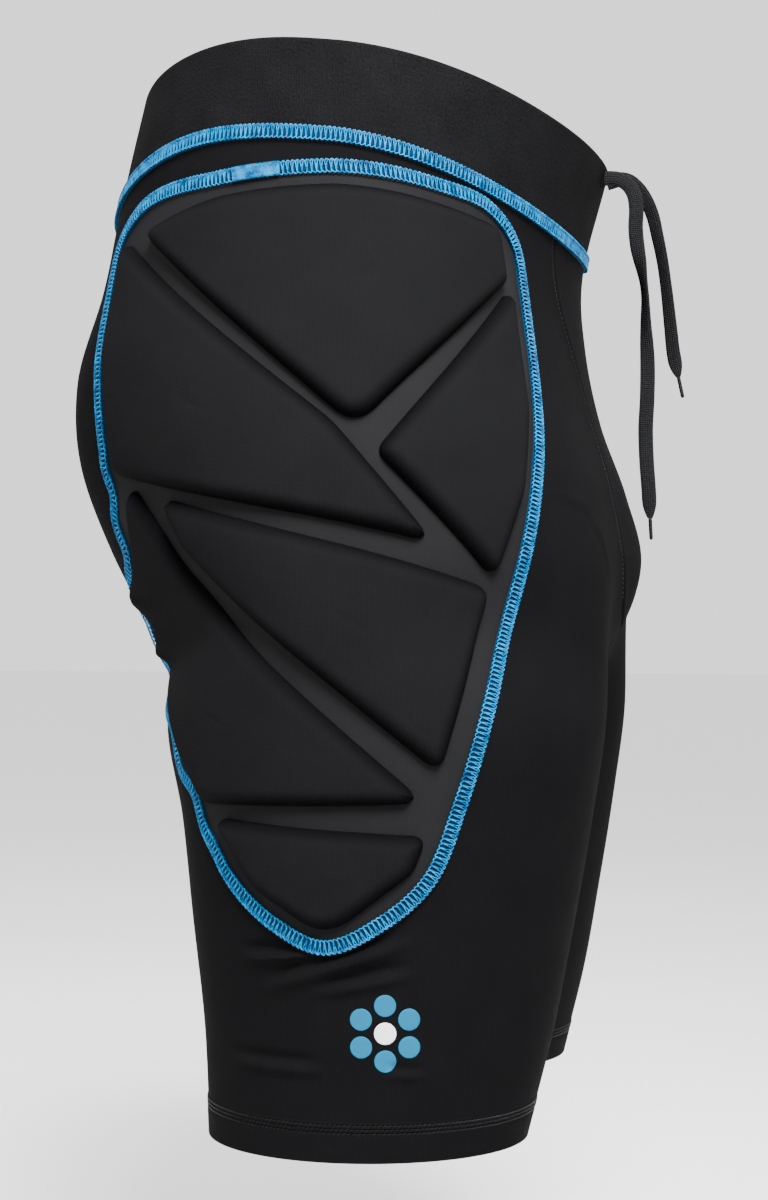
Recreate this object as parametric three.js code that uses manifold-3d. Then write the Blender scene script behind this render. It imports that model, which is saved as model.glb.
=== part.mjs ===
// Padded compression shorts in their worn form, open at the waist and at both legs.
// Millimetres, +Z up. The wearer faces -Y and the wearer's right side is at -X.
// The origin is the centre of the waist opening, level with the top of the waistband at the sides.
import * as THREE from "three";
import loadManifold from "manifold-3d";

const RISE = 252;               // top of the waistband to the level of the crotch, at the side
const LEG_LENGTH = 224;         // from that level down to the hem
const BAND_HEIGHT = 41;
const HIP_WIDTH = 342;
const HIP_DEPTH = 250;
const LEG_WIDTH = 133;          // leg opening, side to side
const LEG_DEPTH = 140;          // leg opening, front to back
const CROTCH_DIP = 24;          // how far the crotch curve hangs below its two ends
const HEM_HEIGHT = 14;

const CLOTH = 1.5;              // wall of the stretch fabric
const BAND_WALL = 2.5;
const HEM_EXTRA = 0.5;          // the turned hem is thicker by this on each face
const GAP = 0.3;                // between neighbouring pieces
const SEAM_SEAT_GAP = 1;        // under the seams, which lie over two curved, faceted faces

const PAD_WIDTH = 236;          // side pad, measured round the body
const PAD_HEIGHT = 336;
const PAD_BELOW_BAND = 9;       // waist seam down to the pad's highest edge
const PAD_WALL = 2;
const PAD_PROUD = 0.3;          // the pad's flat stands proud of the body fabric
const CELL_HEIGHT = 6.5;
const CELL_EDGE = 2;            // height of a cell's upright edge, below its slope
const CELL_SHOULDER = 5;        // width of that slope

const SEAM_WIDTH = 6.5;
const SEAM_THICKNESS = 1;
const LACE_WIDTH = 7;
const LACE_THICKNESS = 2;
const AGLET_LENGTH = 10;
const AGLET_WIDTH = 2.4;
const SLOT_BELOW_RIM = 6.5;     // centre of each buttonhole under the top edge in front
const SLOT_APART = 8;           // each buttonhole's distance from the middle

const SQUARENESS = 2.2;         // 2 is an ellipse, more is squarer
const POUCH_REACH = 38;         // how far the front bulge spreads to each side
const THIGH_PLACE = 92;         // middle of the thigh's bulge, out from the centre
const CHEEK_PLACE = 78;
const BULGE_REACH = 42;

const BAND_SHARE = BAND_HEIGHT / RISE;

// Loops round the hips. Drops and dips are shares of RISE, half widths of HIP_WIDTH, the rest of HIP_DEPTH.
// peak is where the loop stands highest, as a share of the way from front to back.
const HIP_ROWS = [
  { drop: 0, frontDip: 0.149, backDip: 0.058, half: 0.422, front: 0.434, back: 0.434, peak: 0.60 },
  { drop: BAND_SHARE, frontDip: 0.160, backDip: 0.110, half: 0.430, front: 0.388, back: 0.486, peak: 0.60 },
  { drop: 0.373, frontDip: 0.111, backDip: 0.040, half: 0.450, front: 0.382, back: 0.505, peak: 0.54,
    pouch: 0.008, cheek: 0.016 },
  { drop: 0.552, frontDip: 0.083, backDip: 0.020, half: 0.474, front: 0.409, back: 0.535, peak: 0.52,
    pouch: 0.012, thigh: 0.008, cheek: 0.032 },
  { drop: 0.710, frontDip: 0.060, backDip: 0.012, half: 0.491, front: 0.446, back: 0.512, peak: 0.50,
    pouch: 0.024, thigh: 0.020, cheek: 0.044 },
  { drop: 0.857, frontDip: 0.040, backDip: 0.016, half: 0.500, front: 0.458, back: 0.430, peak: 0.50,
    pouch: 0.040, thigh: 0.040, cheek: 0.064 },
  { drop: 1, frontDip: 0.024, backDip: 0.024, half: 0.503, front: 0.432, back: 0.320, peak: 0.50,
    pouch: 0.024, thigh: 0.068, cheek: 0.088 },
];

// Loops round one leg. drop is a share of LEG_LENGTH, out of HIP_WIDTH, outer and inner of LEG_WIDTH,
// back and half of LEG_DEPTH.
const LEG_ROWS = [
  { drop: 0.188, out: 0.222, back: -0.100, outer: 0.720, inner: 0.548, half: 0.705 },
  { drop: 0.388, out: 0.240, back: -0.108, outer: 0.672, inner: 0.571, half: 0.655 },
  { drop: 0.590, out: 0.259, back: -0.104, outer: 0.614, inner: 0.561, half: 0.608 },
  { drop: 0.790, out: 0.281, back: -0.098, outer: 0.548, inner: 0.541, half: 0.555 },
  { drop: 1, out: 0.297, back: -0.068, outer: 0.500, inner: 0.500, half: 0.500 },
];

// The front panel's edge: drop is a share of RISE, side of the way from the front to the back.
const PANEL_EDGE = [
  { drop: 0, side: 0.140 },
  { drop: 0.163, side: 0.135 },
  { drop: 0.300, side: 0.110 },
  { drop: 0.440, side: 0.064 },
  { drop: 0.580, side: 0.052 },
  { drop: 0.720, side: 0.062 },
  { drop: 0.850, side: 0.060 },
  { drop: 0.940, side: 0.036 },
  { drop: 1, side: 0 },
];

// The pad's outline, front edge first. around is a share of PAD_WIDTH, drop of PAD_HEIGHT.
const PAD_EDGE = [
  { around: 0, drop: 0.016 },
  { around: -0.191, drop: 0.005 },
  { around: -0.324, drop: 0.001 },
  { around: -0.403, drop: 0.033 },
  { around: -0.441, drop: 0.125 },
  { around: -0.455, drop: 0.259 },
  { around: -0.426, drop: 0.408 },
  { around: -0.370, drop: 0.560 },
  { around: -0.309, drop: 0.692 },
  { around: -0.251, drop: 0.818 },
  { around: -0.193, drop: 0.915 },
  { around: -0.110, drop: 0.968 },
  { around: -0.009, drop: 1 },
  { around: 0.085, drop: 0.976 },
  { around: 0.195, drop: 0.921 },
  { around: 0.286, drop: 0.843 },
  { around: 0.405, drop: 0.730 },
  { around: 0.495, drop: 0.660 },
  { around: 0.540, drop: 0.580 },
  { around: 0.527, drop: 0.446 },
  { around: 0.547, drop: 0.223 },
  { around: 0.530, drop: 0.077 },
  { around: 0.441, drop: 0.036 },
  { around: 0.212, drop: 0.030 },
];
const PAD_MIDDLE = { around: 0.040, drop: 0.430 };

// The six cells of a pad, each a polygon with rounded corners round its middle, in the same shares.
// A corner is around, drop and the radius it is rounded to, a share of PAD_WIDTH.
const CELLS = [
  { middle: [-0.034, 0.173], corners: [[0.411, 0.077, 0.025], [0.212, 0.054, 0.17], [0, 0.040, 0.17],
    [-0.347, 0.025, 0.034], [-0.369, 0.113, 0.021], [-0.060, 0.356, 0.055]] },
  { middle: [0.339, 0.307], corners: [[0.483, 0.074, 0.017], [-0.018, 0.346, 0.25], [-0.205, 0.496, 0.017],
    [0.479, 0.403, 0.021], [0.513, 0.238, 0.25]] },
  { middle: [-0.263, 0.357], corners: [[-0.386, 0.116, 0.017], [-0.415, 0.298, 0.17],
    [-0.390, 0.417, 0.17], [-0.322, 0.537, 0.025], [-0.094, 0.384, 0.025]] },
  { middle: [-0.110, 0.616], corners: [[0.345, 0.434, 0.03], [-0.315, 0.548, 0.03],
    [-0.212, 0.785, 0.025], [0.290, 0.500, 0.08]] },
  { middle: [0.254, 0.708], corners: [[0.436, 0.413, 0.021], [0.301, 0.525, 0.25], [-0.190, 0.821, 0.021],
    [0.262, 0.830, 0.034], [0.393, 0.695, 0.085], [0.492, 0.560, 0.127]] },
  { middle: [0.020, 0.905], corners: [[0.236, 0.845, 0.021], [-0.190, 0.861, 0.021],
    [-0.165, 0.906, 0.05], [-0.012, 0.988, 0.085], [0.140, 0.928, 0.127]] },
];

// The free ends of the drawstring: out of the buttonhole, over in a short arc and down.
const LONG_LACE = [
  [-8, -107.8, -44], [-8, -110.8, -44], [-8, -114.6, -44.6], [-8, -118.9, -47.4], [-8, -121.6, -51.8],
  [-8, -122.6, -57.5], [-8, -122.4, -68], [-8, -123.3, -77], [-8, -125.1, -86.5], [-8, -126.6, -97],
  [-8, -127.2, -113.5], [-8, -128, -133], [-8, -127.8, -148], [-8, -127.1, -162], [-8, -127.5, -176.5],
  [-8, -128.5, -191], [-8, -129.2, -204.5],
];
const SHORT_LACE = [
  [8, -107.8, -44], [8, -110.6, -43.2], [8, -114, -42.2], [8, -118.1, -43], [8, -122.2, -46.2],
  [8, -126, -51.4], [8, -129.4, -59], [8, -131.9, -69.4], [8, -134.4, -82], [8, -136.3, -96],
  [8, -138.2, -113.5], [8, -139.6, -126], [8, -141.9, -137],
];

const FABRIC = { color: 0x1b1b1c, roughness: 0.78, metalness: 0 };
const BAND_FABRIC = { color: 0x19191a, roughness: 0.7, metalness: 0 };
const PAD_FABRIC = { color: 0x2a2a2b, roughness: 0.88, metalness: 0 };
const THREAD = { color: 0x2fa9df, roughness: 0.6, metalness: 0 };
const LACE = { color: 0x161617, roughness: 0.85, metalness: 0 };
const AGLET = { color: 0x0c0c0d, roughness: 0.35, metalness: 0 };

const { Manifold, Mesh } = await startManifold();

async function startManifold() {
  const library = await loadManifold();
  library.setup();
  return library;
}

// One point of a hip loop, share 0 at the centre front and 1 at the centre back.
function hipPoint(row, share) {
  const turn = Math.PI * share;
  const level = Math.abs(Math.cos(turn));
  const side = level ** (2 / SQUARENESS);
  const x = -row.half * HIP_WIDTH * Math.abs(Math.sin(turn)) ** (2 / SQUARENESS);
  const bump = (place, reach) => Math.exp(-(((-x - place) / reach) ** 2));
  let y = 0;
  if (Math.cos(turn) > 0) {
    y = -row.front * side - (row.pouch ?? 0) * bump(0, POUCH_REACH);
    y -= (row.thigh ?? 0) * bump(THIGH_PLACE, BULGE_REACH) * Math.sqrt(level);
  } else {
    y = row.back * side + (row.cheek ?? 0) * bump(CHEEK_PLACE, BULGE_REACH) * Math.sqrt(level);
  }
  const isFront = share < row.peak;
  const way = isFront ? share / row.peak : (1 - share) / (1 - row.peak);
  const dip = (isFront ? row.frontDip : row.backDip) * Math.cos(Math.PI * way / 2) ** 2;
  return new THREE.Vector3(x, y * HIP_DEPTH, -RISE * (row.drop + dip));
}

// One point of a leg loop, share 0 to 1 round the outside and 1 to 2 back along the inside. The lean
// keeps share 0.5 on the same side line as it has round the hips.
function legPoint(row, share) {
  const lean = Math.asin(-row.back / row.half) * (1 - (2 * share - 1) ** 2);
  const outside = Math.PI * (1.5 * share - 0.25) + lean;
  const turn = share <= 1 ? outside : Math.PI * (1.25 + 0.5 * (share - 1));
  const width = Math.sin(turn) > 0 ? row.outer : row.inner;
  return new THREE.Vector3(
    -row.out * HIP_WIDTH - width * LEG_WIDTH * Math.sin(turn),
    (row.back - row.half * Math.cos(turn)) * LEG_DEPTH,
    -RISE - row.drop * LEG_LENGTH,
  );
}

// The crotch curve on the middle plane, share 1 at its back end and 2 at its front end.
function crotchPoint(share) {
  const last = HIP_ROWS[HIP_ROWS.length - 1];
  const point = hipPoint(last, 1).lerp(hipPoint(last, 0), share - 1);
  point.x = 0;
  point.z -= CROTCH_DIP * Math.max(0, Math.sin(Math.PI * (share - 1))) ** 0.8;
  return point;
}

const HIP_KEYS = HIP_ROWS.map((row) => row.drop * RISE);
const LEG_KEYS = LEG_ROWS.map((row) => RISE + row.drop * LEG_LENGTH);

// Slope of a column of points at each key, the usual three-point mean inside and one-sided at the ends.
function slopes(keys, points) {
  const steps = points.slice(1).map((p, i) => p.clone().sub(points[i]).divideScalar(keys[i + 1] - keys[i]));
  return points.map((_, i) => {
    if (i === 0) return steps[0].clone();
    if (i === points.length - 1) return steps[i - 1].clone();
    const above = keys[i] - keys[i - 1];
    const below = keys[i + 1] - keys[i];
    return steps[i - 1].clone().multiplyScalar(below).addScaledVector(steps[i], above)
      .divideScalar(above + below);
  });
}

// A smooth curve down a column of points, read at one drop.
function along(keys, points, tangents, drop) {
  let i = 0;
  while (i < keys.length - 2 && drop >= keys[i + 1]) i += 1;
  const span = keys[i + 1] - keys[i];
  const s = (drop - keys[i]) / span;
  return points[i].clone().multiplyScalar(2 * s ** 3 - 3 * s ** 2 + 1)
    .addScaledVector(tangents[i], (s ** 3 - 2 * s ** 2 + s) * span)
    .addScaledVector(points[i + 1], 3 * s ** 2 - 2 * s ** 3)
    .addScaledVector(tangents[i + 1], (s ** 3 - s ** 2) * span);
}

function outerColumn(share) {
  const keys = [...HIP_KEYS, ...LEG_KEYS];
  const points = [...HIP_ROWS.map((row) => hipPoint(row, share)), ...LEG_ROWS.map((row) => legPoint(row, share))];
  return { keys, points, tangents: slopes(keys, points) };
}

// The inside of the leg starts at the crotch curve and meets the outer columns at its two ends.
const LAST_HIP = HIP_ROWS.length - 1;
const BACK_END = endSlope(1);
const FRONT_END = endSlope(0);

function endSlope(share) {
  const column = outerColumn(share);
  const step = column.points[LAST_HIP + 1].clone().sub(column.points[LAST_HIP]);
  step.divideScalar(column.keys[LAST_HIP + 1] - column.keys[LAST_HIP]);
  return column.tangents[LAST_HIP].clone().sub(step);
}

function innerColumn(share) {
  const keys = [RISE, ...LEG_KEYS];
  const points = [crotchPoint(share), ...LEG_ROWS.map((row) => legPoint(row, share))];
  const tangents = slopes(keys, points);
  const blend = Math.cos(Math.PI * (share - 1)) ** 2;
  tangents[0].addScaledVector(share < 1.5 ? BACK_END : FRONT_END, blend);
  return { keys, points, tangents };
}

// A point of the right half's outer face.
function facePoint(share, drop) {
  const column = share <= 1 ? outerColumn(share) : innerColumn(share);
  const point = along(column.keys, column.points, column.tangents, drop);
  if (drop > RISE + 1) point.x = Math.min(point.x, -GAP);
  return point;
}

// The outward direction there, from two short steps on the face.
function faceNormal(share, drop) {
  const step = 0.002;
  const reach = 0.5;
  const isInside = share > 1;
  const low = Math.max(share - step, isInside ? 1.0001 : 0);
  const high = Math.min(share + step, isInside ? 2 : 1);
  const up = Math.max(drop - reach, isInside ? RISE : 0);
  const down = Math.min(drop + reach, RISE + LEG_LENGTH);
  const round = facePoint(high, drop).sub(facePoint(low, drop));
  const fall = facePoint(share, down).sub(facePoint(share, up));
  const normal = new THREE.Vector3().crossVectors(round, fall).normalize();
  if (Math.abs(facePoint(share, drop).x) < 1e-6) normal.x = 0;
  return normal.normalize();
}

// Share of the loop at this drop that lies a given distance round from the side, front negative.
function shareAt(around, drop) {
  const step = 0.02 * Math.sign(around || 1);
  let share = 0.5;
  let walked = 0;
  let here = facePoint(share, drop);
  for (let i = 0; i < 25; i += 1) {
    const next = facePoint(share + step, drop);
    const length = next.distanceTo(here);
    if (walked + length >= Math.abs(around)) {
      return share + step * (Math.abs(around) - walked) / length;
    }
    walked += length;
    share += step;
    here = next;
  }
  return share;
}

function lifted(share, drop, lift) {
  return facePoint(share, drop).addScaledVector(faceNormal(share, drop), lift);
}

// A closed solid between an outer and an inner sheet that share one set of faces.
function shell(outer, inner, faces) {
  const count = outer.length;
  const index = [];
  const rim = new Map();
  for (const [a, b, c] of faces) {
    index.push(a, b, c, a + count, c + count, b + count);
    for (const [p, q] of [[a, b], [b, c], [c, a]]) {
      if (!rim.delete(q * count + p)) rim.set(p * count + q, [p, q]);
    }
  }
  for (const [p, q] of rim.values()) index.push(q, p, p + count, q, p + count, q + count);
  const geometry = new THREE.BufferGeometry();
  const positions = [...outer, ...inner].flatMap((p) => [p.x, p.y, p.z]);
  geometry.setAttribute("position", new THREE.Float32BufferAttribute(positions, 3));
  geometry.setIndex(index);
  return geometry;
}

// Faces of a sheet of rows by columns, optionally closed round.
function gridFaces(rows, columns, isClosed) {
  const faces = [];
  for (let r = 0; r < rows - 1; r += 1) {
    for (let c = 0; c < (isClosed ? columns : columns - 1); c += 1) {
      const next = (c + 1) % columns;
      const a = r * columns + c;
      const b = r * columns + next;
      faces.push([a, b, b + columns], [a, b + columns, a + columns]);
    }
  }
  return faces;
}

const flipped = (faces) => faces.map(([a, b, c]) => [a, c, b]);
const acrossX = (p) => new THREE.Vector3(-p.x, p.y, p.z);
const steps = (from, to, count) => Array.from({ length: count + 1 }, (_, i) => from + (to - from) * i / count);

function mirrored(geometry) {
  const copy = geometry.clone();
  copy.scale(-1, 1, 1);
  const index = Array.from(copy.index.array);
  for (let i = 0; i < index.length; i += 3) [index[i + 1], index[i + 2]] = [index[i + 2], index[i + 1]];
  copy.setIndex(index);
  return copy;
}

function toManifold(geometry) {
  const mesh = new Mesh({
    numProp: 3,
    vertProperties: new Float32Array(geometry.attributes.position.array),
    triVerts: new Uint32Array(geometry.index.array),
  });
  mesh.merge();
  return new Manifold(mesh);
}

function toGeometry(solid) {
  const mesh = solid.getMesh();
  const geometry = new THREE.BufferGeometry();
  geometry.setAttribute("position", new THREE.Float32BufferAttribute(mesh.vertProperties, 3));
  geometry.setIndex(Array.from(mesh.triVerts));
  return geometry;
}

// Where the front panel ends, read from its table.
function panelShare(drop) {
  const keys = PANEL_EDGE.map((row) => row.drop * RISE);
  const points = PANEL_EDGE.map((row) => new THREE.Vector3(row.side, 0, 0));
  return Math.max(0, along(keys, points, slopes(keys, points), drop).x);
}

// Share moved by a length along the loop.
function shifted(share, drop, length) {
  const step = 0.002;
  const from = Math.max(0, share - step);
  const to = share + step;
  const rate = facePoint(from, drop).distanceTo(facePoint(to, drop)) / (to - from);
  return share + length / rate;
}

const HIP_STEPS = 8;
const WAIST_STEPS = 17;

// Half of the seat and one leg, as one sheet of cloth. The halves meet at the centre back and the crotch.
function bodyGeometry() {
  const hipDrops = [...steps(BAND_HEIGHT + GAP / 2, RISE * 0.94, HIP_STEPS), RISE * 0.975, RISE];
  const hemTop = RISE + LEG_LENGTH - HEM_HEIGHT;
  const legDrops = [...steps(RISE, hemTop - HEM_EXTRA, 6).slice(1), hemTop, RISE + LEG_LENGTH];
  const outsideCount = 15;
  const insideCount = 6;
  const outer = [];
  const inner = [];
  const faces = [];
  const place = (share, drop) => {
    const extra = drop >= hemTop - 1e-6 ? HEM_EXTRA : 0;
    const ends = [lifted(share, drop, extra), lifted(share, drop, -CLOTH - extra)];
    for (const p of ends) p.x = Math.min(p.x, -GAP / 2);
    inner.push(ends[1]);
    return outer.push(ends[0]) - 1;
  };
  const strip = (above, below, isLoop) => {
    const last = isLoop ? above.length : above.length - 1;
    for (let i = 0; i < last; i += 1) {
      const next = (i + 1) % above.length;
      faces.push([above[i], above[next], below[next]], [above[i], below[next], below[i]]);
    }
  };
  const outsideRow = (start, drop) => steps(start, 1, outsideCount).map((share) => place(share, drop));
  const insideRow = (drop) => steps(1, 2, insideCount).slice(1, -1).map((share) => place(share, drop));
  let above = [];
  for (const drop of hipDrops) {
    const edge = panelShare(drop);
    const row = outsideRow(edge > 0 ? shifted(edge, drop, GAP / 2) : 0, drop);
    if (above.length) strip(above, row, false);
    above = row;
  }
  above.push(...insideRow(RISE));
  for (const drop of legDrops) {
    const row = [...outsideRow(0, drop), ...insideRow(drop)];
    strip(above, row, true);
    above = row;
  }
  return shell(outer, inner, faces);
}

// The curved panel between the two front seams, ending in a narrow tongue at the crotch.
function frontPanelGeometry() {
  const drops = [...steps(BAND_HEIGHT + GAP / 2, RISE * 0.94, HIP_STEPS), RISE * 0.975];
  const columns = 4;
  const outer = [];
  const inner = [];
  for (const drop of drops) {
    const reach = shifted(panelShare(drop), drop, -GAP / 2);
    for (const way of steps(-1, 1, 2 * columns)) {
      const share = Math.abs(way) * reach;
      const ends = [lifted(share, drop, 0), lifted(share, drop, -CLOTH)];
      const [out, within] = way > 0 ? ends.map(acrossX) : ends;
      outer.push(out);
      inner.push(within);
    }
  }
  return shell(outer, inner, flipped(gridFaces(drops.length, 2 * columns + 1, false)));
}

// A closed loop round the waist at one drop, with a lift, starting at the centre front.
function waistLoop(drop, lift, half) {
  const right = steps(0, 1, half).map((share) => lifted(share, drop, lift));
  const left = right.slice(1, -1).reverse().map(acrossX);
  return [...right, ...left];
}

function waistRing(drops, lift, wall, half) {
  const outer = drops.flatMap((drop) => waistLoop(drop, lift, half));
  const inner = drops.flatMap((drop) => waistLoop(drop, lift - wall, half));
  return shell(outer, inner, gridFaces(drops.length, 2 * half, true));
}

// The wide band, with a buttonhole for each end of the drawstring.
function waistbandGeometry() {
  const drops = steps(0, BAND_HEIGHT - GAP / 2, 2);
  let band = toManifold(waistRing(drops, PAD_PROUD, BAND_WALL, WAIST_STEPS));
  const rim = lifted(0, 0, 0);
  const clearance = 2 * GAP;
  for (const side of [-1, 1]) {
    const size = [LACE_THICKNESS + 2 * clearance, 8 * BAND_WALL, LACE_WIDTH + 2 * clearance];
    const hole = new THREE.BoxGeometry(...size).translate(side * SLOT_APART, rim.y, rim.z - SLOT_BELOW_RIM);
    band = band.subtract(toManifold(hole));
  }
  return toGeometry(band);
}

// Where a pad's point lies on the face: shares of the pad's width and height.
function padPoint(around, drop, lift) {
  const below = BAND_HEIGHT + PAD_BELOW_BAND + drop * PAD_HEIGHT;
  return lifted(shareAt(around * PAD_WIDTH, below), below, lift);
}

// The pad's outline as evenly spaced shares, moved outwards by a length.
function padOutline(count, outwards) {
  const corners = PAD_EDGE.map((row) => new THREE.Vector3(row.around * PAD_WIDTH, row.drop * PAD_HEIGHT, 0));
  const curve = new THREE.CatmullRomCurve3(corners, true, "centripetal");
  return Array.from({ length: count }, (_, i) => {
    const point = curve.getPointAt(i / count);
    const tangent = curve.getTangentAt(i / count);
    const x = point.x - tangent.y * outwards;
    const y = point.y + tangent.x * outwards;
    return [x / PAD_WIDTH, y / PAD_HEIGHT];
  });
}

// A sheet of rings drawn in towards a middle point, each ring with its own lift.
function ringSheet(outline, middle, rings, centreLift) {
  const points = rings.flatMap(({ keep, lift }) => outline.map(([around, drop]) => padPoint(
    middle[0] + (around - middle[0]) * keep,
    middle[1] + (drop - middle[1]) * keep,
    lift,
  )));
  points.push(padPoint(middle[0], middle[1], centreLift));
  return points;
}

function ringFaces(ringCount, count) {
  const faces = gridFaces(ringCount, count, true);
  const first = (ringCount - 1) * count;
  const centre = ringCount * count;
  for (let i = 0; i < count; i += 1) faces.push([first + i, first + (i + 1) % count, centre]);
  return faces;
}

function padSolid(outline, middle, rings) {
  const top = rings.map(({ keep, top: lift }) => ({ keep, lift }));
  const bottom = rings.map(({ keep, bottom: lift }) => ({ keep, lift }));
  const last = rings[rings.length - 1];
  const outer = ringSheet(outline, middle, top, last.top);
  const inner = ringSheet(outline, middle, bottom, last.bottom);
  return shell(outer, inner, flipped(ringFaces(rings.length, outline.length)));
}

const PAD_POINTS = 42;
const PAD_RINGS = [0.93, 0.72, 0.48, 0.24];
const PAD_CENTRE = [PAD_MIDDLE.around, PAD_MIDDLE.drop];

// A sheet over the whole pad between two lifts. All pieces of a pad are cut from such sheets, whose
// faces lie parallel, so that a narrow gap between them stays even.
function padSheet(bottom, top) {
  const columns = 11;
  const rows = 13;
  const margin = 0.04;
  const arounds = PAD_EDGE.map((row) => row.around);
  const places = steps(-margin, 1 + margin, rows - 1).flatMap((drop) => (
    steps(Math.min(...arounds) - margin, Math.max(...arounds) + margin, columns - 1)
      .map((around) => [around, drop])));
  const sheet = (lift) => places.map(([around, drop]) => padPoint(around, drop, lift));
  return toManifold(shell(sheet(top), sheet(bottom), gridFaces(rows, columns, false)));
}

// A block with the pad's outline, upright at its edge and far beyond the sheets inside it.
function padBlock(outwards, edge) {
  const rings = PAD_RINGS.map((keep) => ({ keep, top: 6 * CLOTH, bottom: -6 * CLOTH }));
  return toManifold(padSolid(padOutline(PAD_POINTS, outwards), PAD_CENTRE, [{ keep: 1, ...edge }, ...rings]));
}

function padBaseGeometry() {
  const sheet = padSheet(PAD_PROUD - PAD_WALL, PAD_PROUD);
  return toGeometry(sheet.intersect(padBlock(0, { top: CLOTH, bottom: -2.2 * CLOTH })));
}

// The opening that the pad fills in the body fabric.
const padWindow = () => padBlock(GAP, { top: CLOTH, bottom: -2.2 * CLOTH });

// A cell's outline: straight sides with a few points, and an arc at each corner.
function cellOutline(corners) {
  const points = corners.map(([around, drop, radius]) => ({
    at: new THREE.Vector2(around * PAD_WIDTH, drop * PAD_HEIGHT),
    radius: radius * PAD_WIDTH,
  }));
  const outline = [];
  points.forEach((corner, i) => {
    const before = points[(i + points.length - 1) % points.length].at.clone().sub(corner.at);
    const after = points[(i + 1) % points.length].at.clone().sub(corner.at);
    const half = Math.acos(before.dot(after) / (before.length() * after.length())) / 2;
    const room = 0.45 * Math.min(before.length(), after.length());
    const cut = Math.min(corner.radius / Math.tan(half), room);
    const from = corner.at.clone().addScaledVector(before.normalize(), cut);
    const to = corner.at.clone().addScaledVector(after.normalize(), cut);
    const arc = new THREE.QuadraticBezierCurve(from, corner.at, to);
    outline.push(...(half > 1.3 ? [corner.at] : arc.getPoints(2)));
  });
  return outline;
}

// Extra points on the long sides, so that the cell follows the curve of the body.
function subdivided(outline, longest) {
  return outline.flatMap((point, i) => {
    const next = outline[(i + 1) % outline.length];
    const count = Math.max(1, Math.ceil(point.distanceTo(next) / longest));
    return steps(0, 1, count).slice(0, -1).map((way) => point.clone().lerp(next, way));
  });
}

// A cell is cut from one thick sheet by a block whose top slopes up to it all round.
function cellGeometry({ middle, corners }, sheet) {
  const outline = subdivided(cellOutline(corners), 85);
  const centre = new THREE.Vector2(middle[0] * PAD_WIDTH, middle[1] * PAD_HEIGHT);
  const reach = Math.min(...outline.map((point, i) => {
    const side = outline[(i + 1) % outline.length].clone().sub(point);
    return Math.abs(side.cross(centre.clone().sub(point))) / side.length();
  }));
  const top = PAD_PROUD + GAP + CELL_HEIGHT;
  const rings = [
    { inset: 0, top: PAD_PROUD + GAP + CELL_EDGE, bottom: -CELL_EDGE },
    { inset: CELL_SHOULDER, top, bottom: -2 * CELL_HEIGHT },
    { inset: 1.3 * CELL_SHOULDER, top: 2 * top, bottom: -2 * CELL_HEIGHT },
  ].map(({ inset, top: height, bottom }) => ({ keep: 1 - inset / reach, top: height, bottom }));
  const shares = outline.map((p) => [p.x / PAD_WIDTH, p.y / PAD_HEIGHT]);
  return toGeometry(toManifold(padSolid(shares, middle, rings)).intersect(sheet));
}

// The flat seam round the pad lies over the joint between pad and body.
function padSeamGeometry() {
  const bottom = PAD_PROUD + SEAM_SEAT_GAP;
  const edges = [SEAM_WIDTH / 2, -SEAM_WIDTH / 2].map((out) => padOutline(PAD_POINTS, out));
  const sheet = (lift) => edges.flatMap((edge) => edge.map(([around, drop]) => padPoint(around, drop, lift)));
  return shell(sheet(bottom + SEAM_THICKNESS), sheet(bottom), flipped(gridFaces(2, PAD_POINTS, true)));
}

// A flat lace: its section carried along the route, turned on edge where it hangs.
function laceGeometry(route) {
  const section = new THREE.Shape();
  section.absellipse(0, 0, LACE_THICKNESS / 2, LACE_WIDTH / 2, 0, 2 * Math.PI);
  const outline = new THREE.Shape(section.getPoints(4).slice(0, 8));
  const path = new THREE.CatmullRomCurve3(route.map((p) => new THREE.Vector3(...p)));
  const count = Math.ceil(path.getLength() / (1.6 * LACE_WIDTH));
  return new THREE.ExtrudeGeometry(outline, { steps: count, bevelEnabled: false, extrudePath: path });
}

// The hard tip carries on from the lace's end in the same direction.
function agletGeometry(route) {
  const end = new THREE.Vector3(...route[route.length - 1]);
  const way = end.clone().sub(new THREE.Vector3(...route[route.length - 2])).normalize();
  const profile = [[0, 0], [AGLET_WIDTH / 2, 0], [AGLET_WIDTH / 2, 0.8 * AGLET_LENGTH],
    [AGLET_WIDTH / 4, AGLET_LENGTH], [0, AGLET_LENGTH]].map(([x, y]) => new THREE.Vector2(x, y));
  const geometry = new THREE.LatheGeometry(profile, 8);
  geometry.applyQuaternion(new THREE.Quaternion().setFromUnitVectors(new THREE.Vector3(0, 1, 0), way));
  const start = end.addScaledVector(way, GAP);
  geometry.translate(start.x, start.y, start.z);
  return geometry;
}

const shorts = new THREE.Group();

function add(name, geometry, finish) {
  const mesh = new THREE.Mesh(geometry, new THREE.MeshStandardMaterial(finish));
  mesh.name = name;
  shorts.add(mesh);
}

const body = toGeometry(toManifold(bodyGeometry()).subtract(padWindow()));
add("front_panel", frontPanelGeometry(), FABRIC);
add("waistband", waistbandGeometry(), BAND_FABRIC);
const seamDrops = [BAND_HEIGHT - SEAM_WIDTH / 2, BAND_HEIGHT + SEAM_WIDTH / 2];
const seamLift = PAD_PROUD + SEAM_SEAT_GAP + SEAM_THICKNESS;
add("waist_seam", waistRing(seamDrops, seamLift, SEAM_THICKNESS, WAIST_STEPS), THREAD);

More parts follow.
